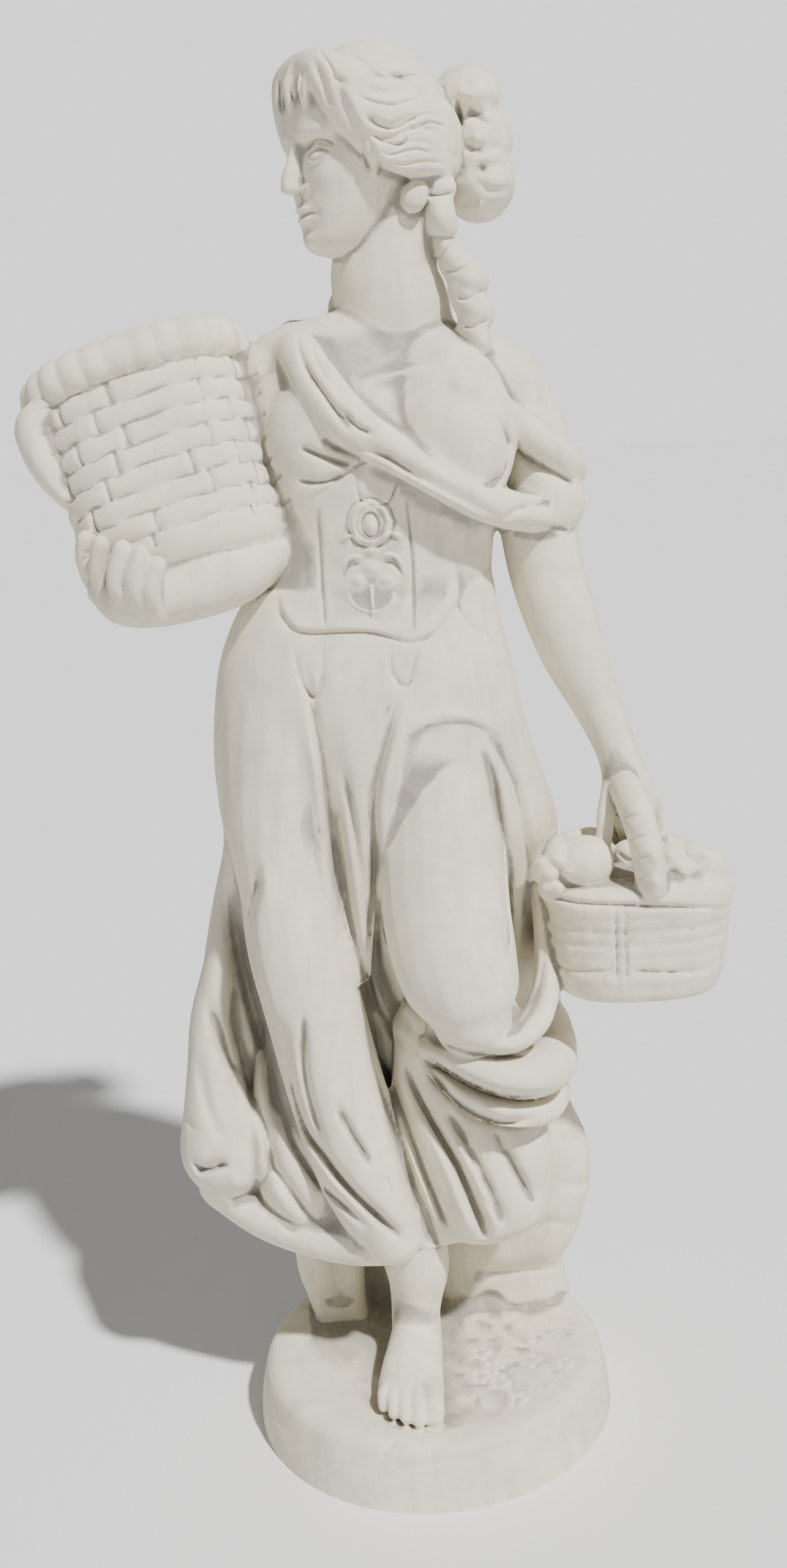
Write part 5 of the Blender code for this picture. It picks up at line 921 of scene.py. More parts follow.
def base():
    """The round base, a little narrower at its top. It reaches under the underside, where the cast is
    cut flat."""
    edge, low = BASE_EDGE_ROUNDING, -2 * CAST_VOXEL
    heights = [(low, 0.0), (0.0, 0.0), (BASE_HEIGHT * 0.4, -0.3 * BASE_SLOPE)]
    for turn in (0, 30, 60, 85):
        t = math.radians(turn)
        heights.append((BASE_HEIGHT - edge * (1 - math.sin(t)), -BASE_SLOPE - edge * (1 - math.cos(t))))
    a = np.arange(72) * 2 * math.pi / 72
    outline = 1 + 0.006 * np.sin(2 * a + 0.6) + 0.005 * np.sin(3 * a + 1.0)
    rings = []
    for z, change in heights:
        r = BASE_RADIUS * outline + change
        rings.append(np.stack([r * np.cos(a), r * np.sin(a), z + 0 * a], -1))
    return [skin("base", np.array(rings))]


def sat_flat(obj):
    """Cuts the cast off flat at its underside."""
    bm = bmesh.new()
    bm.from_mesh(obj.data)
    cut = bmesh.ops.bisect_plane(
        bm,
        geom=bm.verts[:] + bm.edges[:] + bm.faces[:],
        plane_co=(0, 0, 0),
        plane_no=(0, 0, 1),
        clear_inner=True,
    )
    edges = [e for e in cut["geom_cut"] if isinstance(e, bmesh.types.BMEdge)]
    bmesh.ops.holes_fill(bm, edges=edges, sides=0)
    bmesh.ops.triangulate(bm, faces=[f for f in bm.faces if len(f.verts) > 4])
    bmesh.ops.recalc_face_normals(bm, faces=bm.faces[:])
    bm.to_mesh(obj.data)
    bm.free()
    return obj


# Fine carving, done on the merged cast: the skin is first made finer where small things are carved. Each
# list belongs to one place, and its lines are where the spectator sees them.


def refine(obj, *areas):
    """Quarters the faces that the spectator sees in these areas, each given as its lower left and upper
    right corner."""
    co, seen_at, sight, square = facing_side(obj, spectator_view)
    wanted = np.zeros(len(co), bool)
    for low, high in areas:
        wanted |= (square > 0) & (seen_at > low).all(1) & (seen_at < high).all(1)
    bm = bmesh.new()
    bm.from_mesh(obj.data)
    edges = [e for e in bm.edges if wanted[e.verts[0].index] and wanted[e.verts[1].index]]
    bmesh.ops.subdivide_edges(bm, edges=edges, cuts=1, use_grid_fill=True)
    bm.to_mesh(obj.data)
    bm.free()


def rough(low, high, count, sizes, height):
    """Dents and bumps scattered over an area, for press()."""
    chance = np.random.default_rng(count)
    return [
        (chance.uniform(low, high), *chance.uniform(*sizes, 2), chance.uniform(-height, height))
        for _ in range(count)
    ]


def oval(middle, wide, tall):
    """A closed line for carve(), of this half width and half height."""
    turns = np.arange(8) * math.pi / 4
    line = [(middle[0] + wide * math.cos(t), middle[1] + tall * math.sin(t)) for t in turns]
    return line + line[:1]


def evened(mesh, co, rounds, share=1.0):
    """Points moved to the middle of their neighbours, so many rounds, each by its own share."""
    ends = np.empty(len(mesh.edges) * 2, np.int32)
    mesh.edges.foreach_get("vertices", ends)
    ends = ends.reshape(-1, 2)
    count = np.bincount(ends.ravel(), minlength=len(co))
    for _ in range(rounds):
        total = np.zeros_like(co)
        for axis in range(3):
            total[:, axis] += np.bincount(ends[:, 0], co[ends[:, 1], axis], len(co))
            total[:, axis] += np.bincount(ends[:, 1], co[ends[:, 0], axis], len(co))
        co = co + share * (total / count[:, None] - co)
    return co


def soften(obj, rounds, *places):
    """Evens the skin out round places, each given as the middle that the spectator sees, the half width
    and the half height."""
    co, seen_at, _, _ = facing_side(obj, spectator_view)
    share = np.zeros(len(co))
    for middle, wide, tall in places:
        off = ((seen_at - np.array(middle)) / (wide, tall)) ** 2
        share = np.maximum(share, np.exp(-off.sum(1)))
    reshaped(obj, evened(obj.data, co, rounds, share[:, None]))


DRAPERY_LINES = [
    ("groove", [(-9.4, 84), (-8.6, 76.2), (-8.4, 68), (-7.4, 61), (-6.3, 54), (-5.3, 45.5),
        (-4.2, 39.8)], 1.02, 0.52),
    ("groove", [(-4.6, 43), (-3.5, 36.6), (-1.8, 28.5), (-0.1, 21.6), (1, 19)], 1.02, 0.57),
    ("groove", [(0.7, 85.5), (-1, 80.5), (-2.9, 73.7), (-3.4, 67.4), (-4.1, 59.2),
        (-5.4, 53.5)], 0.85, 0.34),
    ("groove", [(-6.8, 78), (-5.9, 72), (-5.3, 66), (-4.9, 60), (-4.7, 56)], 0.77, 0.34),
    ("groove", [(9.3, 76.5), (10.1, 71), (10.9, 64.5), (11, 58.1), (10.4, 53.4)], 0.85, 0.4),
    ("groove", [(7.9, 81.8), (11.8, 74.7), (13.2, 66.6), (13.6, 62), (14.6, 57)], 0.85, 0.34),
    ("ridge", [(3.6, 81.5), (6.5, 81.8), (9, 81), (12, 78.9)], 0.68, 0.23),
    ("groove", [(-18.2, 59.6), (-16.9, 62.8), (-16.4, 65.6)], 1.02, 0.57),
    ("groove", [(-16.3, 50), (-15, 46), (-13.7, 36), (-11.3, 31), (-8.8, 27), (-5.4, 22.9),
        (-2, 19.8)], 1.02, 0.69),
    ("groove", [(-16, 37.8), (-14.9, 32.8), (-12.4, 28), (-10, 25.3), (-6, 20.6)], 0.85, 0.57),
    ("groove", [(-17.8, 30.5), (-15.8, 28), (-14, 24.3), (-12.6, 22.4)], 0.85, 0.46),
    ("groove", [(-12.8, 49.6), (-12.8, 46), (-13, 42.4), (-12, 35.2), (-10.8, 31.6)], 0.85, 0.46),
    ("groove", [(-9.6, 37), (-7.8, 33.3), (-6, 30)], 0.85, 0.4),
    ("groove", [(-4.8, 28), (-3.6, 25.9)], 0.85, 0.34),
    ("groove", [(-19.6, 64), (-19, 55), (-17.2, 46), (-15.8, 38), (-13.7, 32)], 1.36, 0.8),
    ("edge", [(-23.3, 27), (-21.8, 27.1), (-19.8, 27.6), (-18.4, 29.4), (-17.9, 31.7), (-18.2, 34.6),
        (-20, 40.3)], 1.36, 0.57),
    ("groove", [(-20, 40.3), (-21.5, 44), (-22.2, 47), (-23.1, 50.3)], 1.02, 0.57),
    ("groove", [(-27.3, 37), (-26.6, 36), (-26, 35)], 0.85, 0.46),
    ("groove", [(-26.6, 29.6), (-25.3, 30.3), (-23.8, 31), (-22, 30)], 1.02, 0.69),
    ("groove", [(-4.6, 44), (-2.7, 38.3), (-1.3, 33.2), (0.1, 28), (1.5, 24), (2.8, 20)], 0.85, 0.52),
    ("groove", [(-2.3, 43.5), (-0.8, 39.6), (0.6, 36), (2.2, 32.2), (4, 28.8), (5.2, 25.1),
        (7, 19)], 0.94, 0.69),
    ("groove", [(2.4, 36.4), (4.4, 32.4), (6.2, 28.2)], 0.85, 0.4),
    ("groove", [(6.6, 24.7), (7.6, 23.4), (8.9, 21)], 0.85, 0.46),
    ("groove", [(9.4, 31), (11, 27.4), (12.8, 23.4)], 0.85, 0.46),
    ("groove", [(0.7, 42.4), (2.5, 39.3), (5, 36.3), (7.3, 34.7), (10, 34), (14.1, 34.6)], 0.85, 0.57),
    ("groove", [(0.8, 42.9), (2.9, 41.1), (5.2, 39.4), (7.9, 38), (10.5, 37.2), (15.2, 37.3)], 0.94, 0.69),
    ("groove", [(1.5, 44.9), (4.1, 43.7), (6.8, 42.8), (9.1, 42.3), (12.4, 42.3),
        (15.5, 43.3)], 0.85, 0.46),
    ("groove", [(9.7, 44.3), (12, 46), (13.6, 48.4), (14.6, 51.6), (15, 55.3)], 0.85, 0.46),
    ("groove", [(-3.2, 56.7), (-2.7, 52.4), (-1.5, 48.1), (0.8, 44.5)], 0.85, 0.4),
    ("groove", [(-5.3, 54.4), (-4.6, 50.4), (-3, 46.4), (-1.1, 43.5)], 0.85, 0.4),
]
BODICE_LINES = [
    ("edge", [(-3.4, 117.2), (0.5, 118.2), (3.6, 118.5), (7.3, 118), (9.8, 116.8), (11.9, 115.4),
        (16, 112.4)], 0.75, -0.27),
    ("groove", [(-8.1, 122.9), (-8.3, 121.3), (-7.5, 119), (-6.3, 117), (-4.1, 113.7),
        (-3.3, 112.6)], 0.5, 0.36),
    ("groove", [(-6.9, 121.8), (-6.4, 119.4), (-4.6, 117), (-2.6, 115.4)], 0.5, 0.27),
    ("groove", [(-4.2, 115), (-2.8, 113.1), (-1, 112.2)], 0.5, 0.32),
    ("groove", [(-5.6, 119.1), (-3.6, 117.3), (-1.3, 115.3), (1.2, 113), (3.7, 110.5), (7, 107.5),
        (9, 105.8)], 0.62, 0.36),
    ("groove", [(-4.6, 112.2), (-2.7, 110.7), (0, 109.8), (2.6, 108), (5.2, 106.4), (8.7, 104.3),
        (11.5, 102.2)], 0.62, 0.41),
    ("groove", [(0, 109.8), (-1.7, 109.5), (-3.6, 108.7), (-5, 107.7), (-6.9, 106.5),
        (-9.6, 104.8)], 0.5, 0.36),
    ("groove", [(-8.8, 111.3), (-6.9, 110.4), (-4.6, 109.4), (-3.6, 109)], 0.5, 0.36),
    ("groove", [(-6.7, 112.1), (-5.3, 111.2), (-2.7, 110)], 0.5, 0.32),
    ("groove", [(-9.4, 108), (-7.1, 107.6), (-5.8, 107.7), (-4.2, 108.4)], 0.5, 0.32),
    ("groove", [(-3.6, 108.7), (-3, 106.2), (-2.4, 105.2), (-0.2, 105), (0.9, 106.5),
        (1.5, 108)], 0.38, 0.27),
    ("groove", oval((-1.9, 103.1), 2.5, 2.6), 0.38, 0.23),
    ("ridge", oval((-1.9, 103.1), 1.9, 2.0), 0.44, 0.32),
    ("groove", oval((-1.9, 102.9), 0.8, 1.2), 0.3, 0.23),
    ("ridge", [(-2.8, 101), (-4.2, 101.9), (-5.4, 101.2)], 0.38, 0.32),
    ("ridge", [(-1.2, 101), (0.2, 101.9), (1.4, 101.2)], 0.38, 0.32),
    ("ridge", [(-3, 99.6), (-4.4, 99.5), (-5.4, 98.2)], 0.38, 0.32),
    ("ridge", [(-1, 99.6), (0.4, 99.5), (1.4, 98.2)], 0.38, 0.32),
    ("groove", [(-3, 98.9), (-4.4, 98.6), (-5.2, 97.4)], 0.31, 0.23),
    ("groove", [(-1, 98.9), (0.4, 98.6), (1.2, 97.4)], 0.31, 0.23),
    ("ridge", [(-4.6, 96.2), (-4.2, 94.6), (-2.2, 93.7), (-0.2, 94.6), (0.2, 96.2)], 0.38, 0.27),
    ("ridge", [(-2.2, 96.8), (-2.2, 95), (-2.2, 92.6)], 0.38, 0.27),
    ("groove", [(-7.2, 105.6), (-7.4, 98), (-7.3, 91.6)], 0.5, 0.27),
    ("groove", [(2, 105.6), (2.3, 98), (2, 90.6)], 0.5, 0.27),
    ("groove", [(6.9, 94.6), (7.3, 93), (8.4, 91.4), (10.4, 90.2)], 0.5, 0.27),
    ("groove", [(-12.2, 97.4), (-12.1, 95), (-11.6, 93.4), (-9.6, 91.9), (-3.2, 91.6), (2.5, 90.2),
        (6.2, 93.6), (6.8, 99)], 0.5, 0.32),
    ("groove", [(-10.9, 91.6), (-10.6, 88), (-9.8, 85.5), (-8.8, 85), (-8, 87.5),
        (-7.6, 91.6)], 0.5, 0.41),
    ("groove", [(-0.7, 91.4), (-0.5, 87), (1, 85.6), (2, 88), (2.7, 91)], 0.5, 0.36),
    ("groove", [(11.8, 113.5), (12.8, 110.8), (12.3, 108), (11.2, 106.7), (9.6, 106.3)], 0.62, 0.36),
    ("groove", [(14.2, 114), (16.8, 112), (18.6, 110.4), (20.1, 108.8)], 0.62, 0.32),
    ("groove", [(12.2, 111.4), (15.3, 108.6), (18.1, 107), (19.9, 105.6)], 0.62, 0.36),
    ("groove", [(13.2, 103.4), (15.1, 104.1), (17.2, 104)], 0.62, 0.36),
    ("groove", [(11.2, 100.8), (12.8, 101.6), (15, 102.1), (17.4, 101.6), (19.9, 100.8)], 0.5, 0.36),
]
BODICE_BEADS = [
    ((-1.9, 102.7), 0.4, 0.6, 0.35), ((-2, 100.2), 0.65, 0.55, 0.5), ((-2.1, 98.3), 0.8, 0.65, 0.5),
    ((-3.6, 97.1), 0.65, 0.6, 0.45), ((-0.7, 97.1), 0.65, 0.6, 0.45),
]
HAIR_LINES = [
    ("groove", [(-4.6, 149.6), (-3.4, 148), (-2.8, 146.4)], 0.35, 0.3),
    ("groove", [(-0.6, 149.8), (1.6, 148.9), (4.2, 148.6)], 0.35, 0.25),
    ("groove", [(0.2, 147.4), (2.4, 146.4), (4.8, 146.6), (7.2, 145.6)], 0.35, 0.3),
    ("groove", [(-1.4, 145.6), (0.2, 144.6), (2.6, 144), (4.4, 144.3), (6.6, 144.6),
        (8.4, 143.6)], 0.35, 0.3),
    ("groove", [(-0.4, 143.4), (1, 142.2), (2.6, 141.8), (4.2, 142.4), (6, 143), (8.4, 142.4)], 0.35, 0.35),
    ("groove", [(5, 141.9), (6.4, 142.2), (8.2, 141.4)], 0.35, 0.3),
    ("groove", [(0.4, 141.4), (1.6, 140.6), (3.2, 140.4), (4.6, 141.1), (6.4, 141)], 0.35, 0.3),
    ("groove", [(1, 139.8), (2.2, 139.4), (4.8, 139.8), (6.8, 139)], 0.35, 0.35),
    ("groove", [(1.8, 138.9), (3.4, 138.4), (5.6, 138.6), (7.8, 138.2)], 0.35, 0.3),
    ("groove", [(8.5, 139.2), (8.7, 138.8), (8.8, 138.4)], 0.3, 0.3),
    ("groove", [(4.9, 144.9), (5.4, 144.8), (5.9, 144.9)], 0.3, 0.3),
    ("groove", [(-7, 148.2), (-7.4, 146.4), (-7.2, 144.6)], 0.3, 0.3),
    ("groove", [(-5.6, 148.4), (-6.4, 146.6), (-6.4, 144.8)], 0.3, 0.3),
    ("groove", [(-8.2, 147.4), (-8.5, 145.6), (-8.5, 143.6)], 0.3, 0.3),
    ("ridge", [(-0.5, 141.2), (0.1, 139.4), (0.4, 138.2), (0.2, 137.2)], 0.6, 0.5),
    ("groove", [(-0.1, 141.4), (0.7, 139.6), (1.1, 138.4), (0.7, 137.3)], 0.3, 0.35),
    ("groove", [(-0.9, 140.8), (-0.5, 139.4), (-0.2, 138)], 0.3, 0.3),
    ("groove", [(5.2, 135.4), (6.8, 135.3), (8.6, 135.6)], 0.4, 0.5),
    ("groove", [(5.4, 131.4), (7, 131.3), (8.8, 131.1)], 0.4, 0.5),
    ("groove", [(6, 129.2), (7.2, 129.8), (8.6, 130.9)], 0.4, 0.4),
    ("groove", [(6.8, 128), (8.4, 128), (10.4, 128.8)], 0.4, 0.5),
    ("groove", [(8, 125.4), (9.4, 125.2), (11.6, 126.2)], 0.4, 0.4),
    ("groove", [(8.6, 122.6), (9.8, 122.4), (11.6, 123.2)], 0.4, 0.4),
    ("groove", [(9, 137.6), (9.3, 139.4), (9.3, 142.4), (9, 145)], 0.5, 0.5),
]
# The eyes and the mouth, for someone facing her: the lids of one side are mirrored to the other.
LID_LINES = [
    ("ridge", [(1.3, -0.25), (1.9, 0.42), (2.75, 0.72), (3.6, 0.42), (4.2, -0.15)], 0.24, 0.3),
    ("groove", [(1.35, 0.25), (1.9, 0.95), (2.8, 1.22), (3.7, 0.9), (4.4, 0.25)], 0.24, 0.26),
    ("ridge", [(1.45, -0.35), (2.2, -0.7), (2.9, -0.78), (3.6, -0.55), (4.15, -0.2)], 0.2, 0.22),
    ("groove", [(1.5, -0.25), (2.1, 0.12), (2.8, 0.32), (3.5, 0.12), (4.05, -0.15)], 0.16, 0.28),
    ("groove", [(1.5, -0.3), (2.2, -0.5), (2.9, -0.56), (3.5, -0.38), (4, -0.18)], 0.14, 0.16),
    ("groove", [(0.5, -3.25), (0.95, -3.2), (1.25, -2.8)], 0.22, 0.25),
]
FACE_LINES = [
    ("groove", [(-1.9, -5.2), (-0.9, -5.12), (0, -5.26), (0.9, -5.12), (1.9, -5.2)], 0.24, 0.26),
    ("ridge", [(-1.7, -5), (-0.7, -4.66), (0, -4.8), (0.7, -4.66), (1.7, -5)], 0.3, 0.3),
    ("ridge", [(-1.4, -5.4), (-0.6, -5.72), (0, -5.76), (0.6, -5.72), (1.4, -5.4)], 0.34, 0.3),
    ("groove", [(0, -3.4), (0, -3.9), (0, -4.5)], 0.3, 0.2),
]
for side in (-1, 1):
    for profile, line, width, depth in LID_LINES:
        FACE_LINES.append((profile, [(side * u, w) for u, w in line], width, depth))
BASKET_LINES = [
    ("groove", [(14.2, 61.4), (17.4, 60.4), (20.2, 59.8), (26.6, 59.2), (32.9, 58.6),
        (36.8, 58.2)], 0.6, 0.6),
    ("groove", [(23.9, 52), (28.5, 51.3), (35, 51)], 0.42, 0.35),
    ("groove", [(15.6, 52.8), (19.4, 52), (23.2, 51.8)], 0.42, 0.3),
    ("groove", [(23, 60), (23, 55), (23.1, 48.6)], 0.34, 0.35),
    ("groove", [(24.1, 60), (24.1, 55), (24.2, 48.6)], 0.34, 0.35),
    ("groove", [(22.8, 70.6), (24.2, 69.6), (26.6, 70)], 0.42, 0.35),
    ("groove", [(23, 68.2), (24.6, 67), (27, 67.6)], 0.42, 0.35),
    ("groove", [(23.2, 65.8), (24.8, 64.6), (27.4, 65.2)], 0.42, 0.35),
    ("groove", [(23.2, 63.6), (24.8, 62.4), (27.4, 63)], 0.42, 0.35),
]
GROUND_LINES = [
    ("groove", [(-20.8, -0.6), (-19.4, -3), (-17.8, -4.8)], 0.85, 0.33),
    ("ridge", [(-18.5, -3), (-15, -1.5), (-10.6, -1)], 1.36, 0.29),
    ("groove", [(-19.4, 6.8), (-17, 8.6), (-14.6, 9.7)], 1.02, 0.29),
    ("groove", [(-4.8, -6.8), (-6.2, -8), (-7.2, -9.2)], 0.77, 0.29),
    ("edge", [(-7, -9.2), (-3, -9.9), (5, -9), (12, -6), (15.6, -3.8)], 1.36, 0.23),
    ("ridge", [(6, 9.5), (8, 7.4), (10, 5.5), (15, 4)], 0.85, 0.26),
    ("ridge", [(9, 6.4), (8.4, 4.6), (7, 2.6), (8.4, 0), (9.6, -2.4)], 0.77, 0.23),
    ("groove", [(4.6, 14.5), (9, 15), (15, 15.5), (18.2, 16.2)], 1.53, 0.59),
    ("groove", [(3, 11), (7, 12), (10, 10.2), (12.6, 9.8), (16.6, 11.5)], 1.19, 0.45),
    ("groove", [(19, 21.4), (16.6, 20.6), (14.4, 21.2), (12, 19.6)], 1.36, 0.52),
    ("groove", [(20, 26.6), (17.8, 25.6), (15.4, 26.2)], 1.36, 0.52),
    ("groove", [(20, 32), (17.8, 31.2), (16.2, 31.8)], 1.36, 0.52),
    ("edge", [(14.6, 13), (15.4, 18), (16.6, 24), (17.2, 30), (16.2, 35)], 2.04, 0.45),
    ("edge", [(-13.4, 19), (-13, 15.4), (-13.9, 12.4), (-12.8, 10)], 1.53, 0.39),
]
BLOSSOMS = [(7, 2.6), (5.6, 4.6), (7.7, 0.4), (9.8, -2), (15.6, 2.6), (11.4, 3.2), (12.6, 6.2), (5.4, 1.4)]
GRAPES = [
    ((u + 0.9 * (row % 2), w), 0.8, 0.75, 0.6)
    for row, w in enumerate((62.0, 63.5, 65.0))
    for u in (14.8, 16.6, 27.6, 29.4, 31.2, 33.0)
]
PLAIT_LOBES = [
    ((6.9, 133.4), 1.3, 1.5, 0.7), ((7.7, 129.8), 1.4, 1.2, 0.6), ((9.4, 127.1), 1.5, 1.2, 0.8),
    ((9.9, 124.2), 1.5, 1.2, 0.7), ((10.6, 121.2), 1.3, 1.4, 0.8),
]
KNOT_LOBES = [
    ((10.4, 144.6), 1.6, 1.2, 0.6), ((13, 143), 1.4, 1.5, -0.5), ((11.2, 140.8), 1.7, 1.2, 0.7),
    ((13.6, 139.4), 1.1, 1.2, 0.6), ((11, 137.6), 1, 0.9, -0.6), ((13.2, 135.6), 1.5, 1.3, 0.6),
]
PETALS = [
    ((u + 0.95 * math.cos(turn), w + 0.7 * math.sin(turn)), 0.42, 0.34, 0.5)
    for u, w in BLOSSOMS
    for turn in np.arange(5) * 2 * math.pi / 5
]

pieces = [figure, head, *creel(), *creel_ear(), *creel_hand(), *fruit_basket(), *fruit_and_hoop()]
pieces += [*foot(), *rock(), *base()]
statue = merged("cast", pieces, CAST_VOXEL, CAST_SOFTNESS)
HEAD_AREA, ORNAMENT_AREA = ((-12, 119), (16, 153)), ((-8, 90), (4, 108))
CREEL_AREA, BLOSSOM_AREA = ((-37, 99), (-10, 120)), ((3, -5), (18, 12))
FACE_AREA, FRUIT_AREA = ((-9.5, 132), (-1, 144)), ((14, 60), (37, 68))
refine(statue, HEAD_AREA, ORNAMENT_AREA, CREEL_AREA, BLOSSOM_AREA)
refine(statue, FACE_AREA, FRUIT_AREA)
# The ankle, the toes' tips, and the foot of the neck with the hollow between the collar bones.
carve(statue, [("ridge", [(-6.4, 10.1), (-4, 9.8), (-1.6, 9.7), (1, 9.9), (3.2, 10.2)], 1.5, 0.8)])
soften(statue, 60, ((-1.7, 9.9), 6.0, 2.6))
soften(statue, 8, ((-3.2, -4.6), 4.5, 0.9))
soften(statue, 30, ((0.8, 123.6), 9.0, 2.2), ((2.2, 118.6), 3.2, 2.8))
sinking = normals(statue.data) * creel_joints(statue)[:, None] * JOINT_DEPTH
reshaped(statue, layout(coordinates(statue.data)) - sinking)
carve(statue, DRAPERY_LINES + BODICE_LINES + HAIR_LINES + BASKET_LINES + GROUND_LINES)
press(statue, BODICE_BEADS + PETALS + GRAPES + PLAIT_LOBES + KNOT_LOBES)
carve(statue, FACE_LINES, face_view)
knot_dents = rough((9.0, 133.6), (15.0, 146.5), 60, (0.35, 0.9), 0.35)
press(statue, knot_dents)
rock_dents = rough((3.0, 10.0), (20.0, 38.0), 60, (0.8, 2.2), 0.3)
stub_dents = rough((-16.5, 9.0), (-7.0, 21.0), 20, (0.8, 2.0), 0.3)
press(statue, rock_dents + stub_dents)
ground_dents = rough((3.0, -3.0), (17.0, 10.0), 90, (0.3, 0.8), 0.22)
press(statue, ground_dents)
statue.data.calc_loop_triangles()
thin = statue.modifiers.new("Thin", "DECIMATE")
thin.ratio = min(1.0, CAST_TRIANGLES / len(statue.data.loop_triangles))
applied(statue)
sat_flat(statue)
statue.data.shade_smooth()
UNDERSIDE = 1e-5
for edge in statue.data.edges:
    edge.use_edge_sharp = all(statue.data.vertices[end].co.z < UNDERSIDE for end in edge.vertices)

# Pale cast concrete: cream white with grey mottle and faint upright streaks, darker in the hollows with
# painted shade and some dirt, with pores and a few rust-coloured stains.


def hollows(obj, rounds):
    """How hollow the skin is at each vertex, in metres: what so many rounds of evening would fill."""
    co = coordinates(obj.data)
    return np.einsum("ij,ij->i", evened(obj.data, co, rounds) - co, normals(obj.data))


NARROW_HOLLOW, WIDE_HOLLOW = 0.0013, 0.0042
# Painted shade, with some dirt: the colour darkens by how hollow the skin is, and at the creel's joints.
hollow_shade_and_joints = 0.55 * hollows(statue, 12) / NARROW_HOLLOW + 0.65 * hollows(statue, 60) / WIDE_HOLLOW
hollow_shade_and_joints = hollow_shade_and_joints + 0.7 * creel_joints(statue)
layer = statue.data.attributes.new("hollow", "FLOAT", "POINT")
layer.data.foreach_set("value", np.clip(hollow_shade_and_joints, -1, 1).astype(np.float32))

concrete = bpy.data.materials.new("cast_concrete")
concrete.use_nodes = True
nodes, links = concrete.node_tree.nodes, concrete.node_tree.links
shader = nodes["Principled BSDF"]
place = nodes.new("ShaderNodeTexCoord")


def noise(scale, detail, roughness, stretch=(1.0, 1.0, 1.0)):
    node = nodes.new("ShaderNodeTexNoise")
    node.inputs["Scale"].default_value = scale
    node.inputs["Detail"].default_value = detail
    node.inputs["Roughness"].default_value = roughness
    shape = nodes.new("ShaderNodeMapping")
    shape.inputs["Scale"].default_value = stretch
    links.new(place.outputs["Object"], shape.inputs["Vector"])
    links.new(shape.outputs["Vector"], node.inputs["Vector"])
    return node.outputs["Fac"]


def ramp(value, *stops):
    """A value turned into greys, by stops given as (value, grey)."""
    node = nodes.new("ShaderNodeValToRGB")
    while len(node.color_ramp.elements) < len(stops):
        node.color_ramp.elements.new(0.5)
    for element, (position, grey) in zip(node.color_ramp.elements, stops):
        element.position = position
        element.color = (grey, grey, grey, 1.0)
    links.new(value, node.inputs["Fac"])
    return node.outputs["Color"]


def mixed(share, first, second):
    node = nodes.new("ShaderNodeMix")
    node.data_type = "RGBA"
    for socket, value in ((node.inputs[0], share), (node.inputs[6], first), (node.inputs[7], second)):
        if isinstance(value, bpy.types.NodeSocket):
            links.new(value, socket)
        elif isinstance(value, tuple):
            socket.default_value = (*value, 1.0)
        else:
            socket.default_value = value
    return node.outputs[2]


def maths(way, first, second):
    node = nodes.new("ShaderNodeMath")
    node.operation = way
    for socket, value in zip(node.inputs, (first, second)):
        if isinstance(value, bpy.types.NodeSocket):
            links.new(value, socket)
        else:
            socket.default_value = value
    return node.outputs[0]


PALE, GREYER = (0.78, 0.725, 0.565), (0.53, 0.50, 0.43)
# The dark grey paints shade and some dirt into the hollows, and colours the pores.
SHADE_AND_DIRT, STAIN = (0.21, 0.195, 0.17), (0.42, 0.32, 0.19)
clouds = noise(7.0, 4, 0.6)
mottle = noise(45.0, 5, 0.65)
grain = noise(420.0, 3, 0.7)
colour = mixed(ramp(clouds, (0.38, 0.0), (0.72, 0.5)), PALE, GREYER)
colour = mixed(ramp(mottle, (0.45, 0.0), (0.8, 0.5)), colour, GREYER)
hollow = nodes.new("ShaderNodeAttribute")
hollow.attribute_name = "hollow"
# Painted shade with some dirt in the hollows, broken up by the mottle.
hollow_shade_and_dirt = maths("ADD", hollow.outputs["Fac"], maths("MULTIPLY", maths("SUBTRACT", mottle, 0.5), 0.9))
colour = mixed(ramp(hollow_shade_and_dirt, (0.12, 0.0), (1.0, 0.8)), colour, SHADE_AND_DIRT)
streaks = noise(9.0, 3, 0.6, (6.0, 6.0, 0.8))
colour = mixed(ramp(streaks, (0.50, 0.0), (0.72, 0.5)), colour, GREYER)
stain_at = noise(3.2, 6, 0.7)
colour = mixed(ramp(stain_at, (0.60, 0.0), (0.78, 0.4)), colour, STAIN)
pores = nodes.new("ShaderNodeTexVoronoi")
pores.inputs["Scale"].default_value = 95.0
pores.inputs["Randomness"].default_value = 1.0
links.new(place.outputs["Object"], pores.inputs["Vector"])
pore_edge = maths("ADD", pores.outputs["Distance"], maths("MULTIPLY", mottle, 0.25))
pore = ramp(pore_edge, (0.13, 1.0), (0.17, 0.0))
colour = mixed(maths("MULTIPLY", pore, 0.7), colour, SHADE_AND_DIRT)
links.new(colour, shader.inputs["Base Color"])
shader.inputs["Roughness"].default_value = 0.9
bump = nodes.new("ShaderNodeBump")
bump.inputs["Strength"].default_value = 0.35
bump.inputs["Distance"].default_value = 0.0015
height = maths("ADD", maths("MULTIPLY", grain, 0.35), maths("MULTIPLY", mottle, 0.8))
height = maths("SUBTRACT", height, pore)
links.new(height, bump.inputs["Height"])
links.new(bump.outputs["Normal"], shader.inputs["Normal"])

statue.data.materials.clear()
statue.data.materials.append(concrete)
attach(statue, "root")
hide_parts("statue")

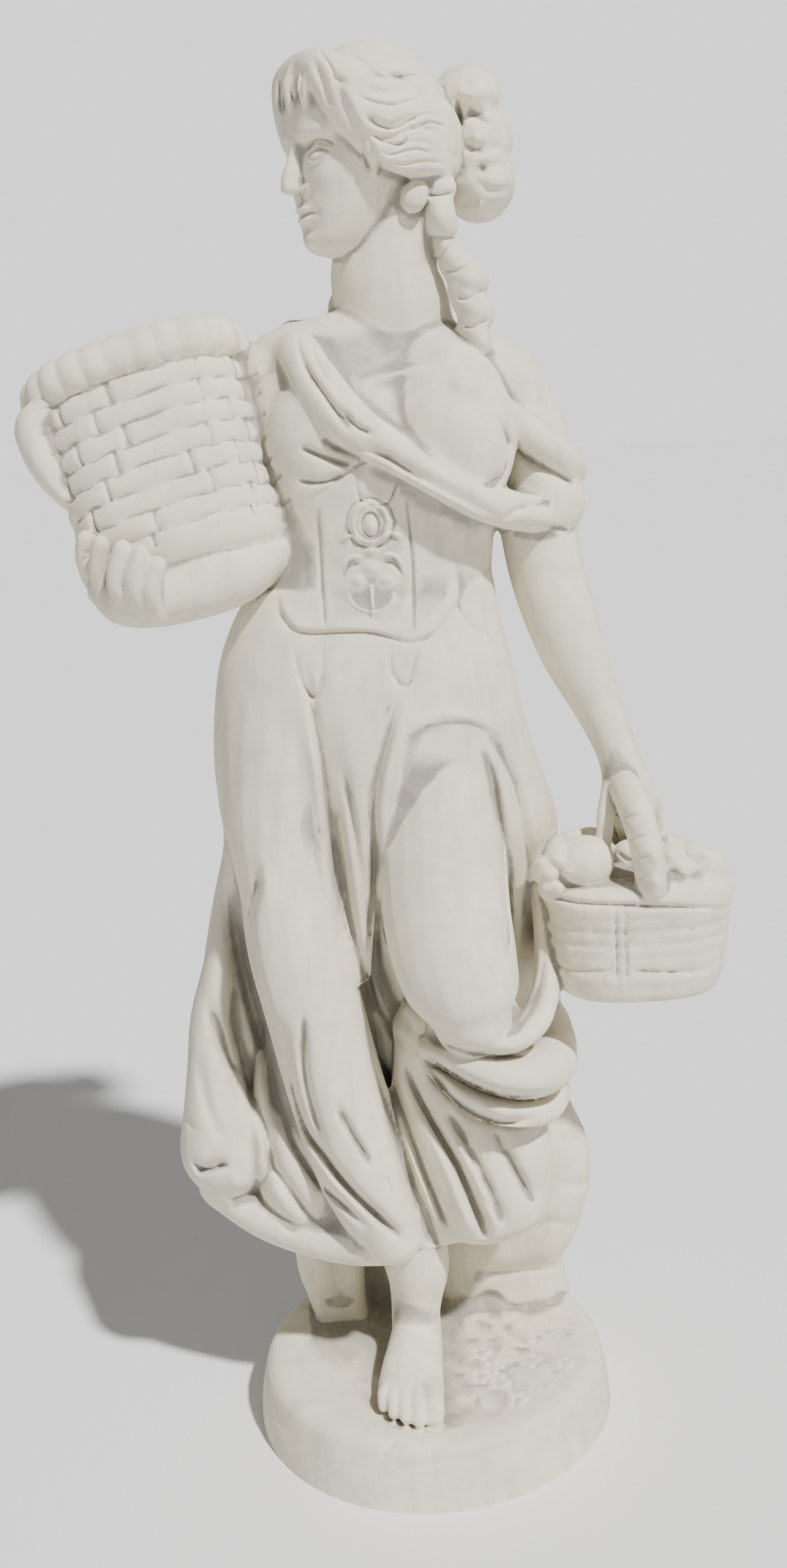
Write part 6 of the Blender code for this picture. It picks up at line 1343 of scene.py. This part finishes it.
# The room: a plain pale floor, one even light in front at the upper right, as the photo's shadows fall, and
# a pale sky that fills the shadows. The camera sees a brighter sky than the one that lights the statue.
SUN_AZIMUTH, SUN_HEIGHT = math.radians(36), math.radians(50)
SUN_STRENGTH = 5.9
SUN_SPREAD = math.radians(3)
SKY_STRENGTH, SEEN_SKY_STRENGTH = 0.30, 1.75
FLOOR_SIZE = 200
bpy.ops.mesh.primitive_plane_add(size=FLOOR_SIZE, location=(0, 0, 0))
floor = bpy.context.object
floor.name = "floor"
paint = bpy.data.materials.new("floor_paint")
paint.use_nodes = True
floor_shader = paint.node_tree.nodes["Principled BSDF"]
floor_shader.inputs["Base Color"].default_value = (0.82, 0.82, 0.81, 1)
floor_shader.inputs["Roughness"].default_value = 0.9
floor.data.materials.append(paint)

sky = bpy.data.worlds.new("pale_sky")
bpy.context.scene.world = sky
sky.use_nodes = True
sky_nodes, sky_links = sky.node_tree.nodes, sky.node_tree.links
filling = sky_nodes["Background"]
filling.inputs["Color"].default_value = (1.0, 1.0, 1.0, 1)
filling.inputs["Strength"].default_value = SKY_STRENGTH
seen_sky = sky_nodes.new("ShaderNodeBackground")
seen_sky.inputs["Strength"].default_value = SEEN_SKY_STRENGTH
path = sky_nodes.new("ShaderNodeLightPath")
either = sky_nodes.new("ShaderNodeMixShader")
sky_links.new(path.outputs["Is Camera Ray"], either.inputs[0])
sky_links.new(filling.outputs[0], either.inputs[1])
sky_links.new(seen_sky.outputs[0], either.inputs[2])
sky_links.new(either.outputs[0], sky_nodes["World Output"].inputs["Surface"])

data = bpy.data.lights.new("key", "SUN")
data.energy = SUN_STRENGTH
data.angle = SUN_SPREAD
key = bpy.data.objects.new("key", data)
key.rotation_euler = (math.pi / 2 - SUN_HEIGHT, 0, SUN_AZIMUTH)
bpy.context.scene.collection.objects.link(key)

# The camera stands where the picture was taken from: at head height, tilted down and a little to one side.
CAMERA_PLACE = (-0.01, -1.63, 1.124)
CAMERA_TILT = 0.2216
CAMERA_ROLL = -0.055
CAMERA_LENS = 35.0
data = bpy.data.cameras.new("camera")
data.sensor_fit = "VERTICAL"
data.sensor_height = 36.0
data.lens = CAMERA_LENS
camera = bpy.data.objects.new("camera", data)
camera.matrix_world = (
    Matrix.Translation(CAMERA_PLACE)
    @ Matrix.Rotation(math.pi / 2 - CAMERA_TILT, 4, "X")
    @ Matrix.Rotation(CAMERA_ROLL, 4, "Z")
)
bpy.context.scene.collection.objects.link(camera)
bpy.context.scene.camera = camera
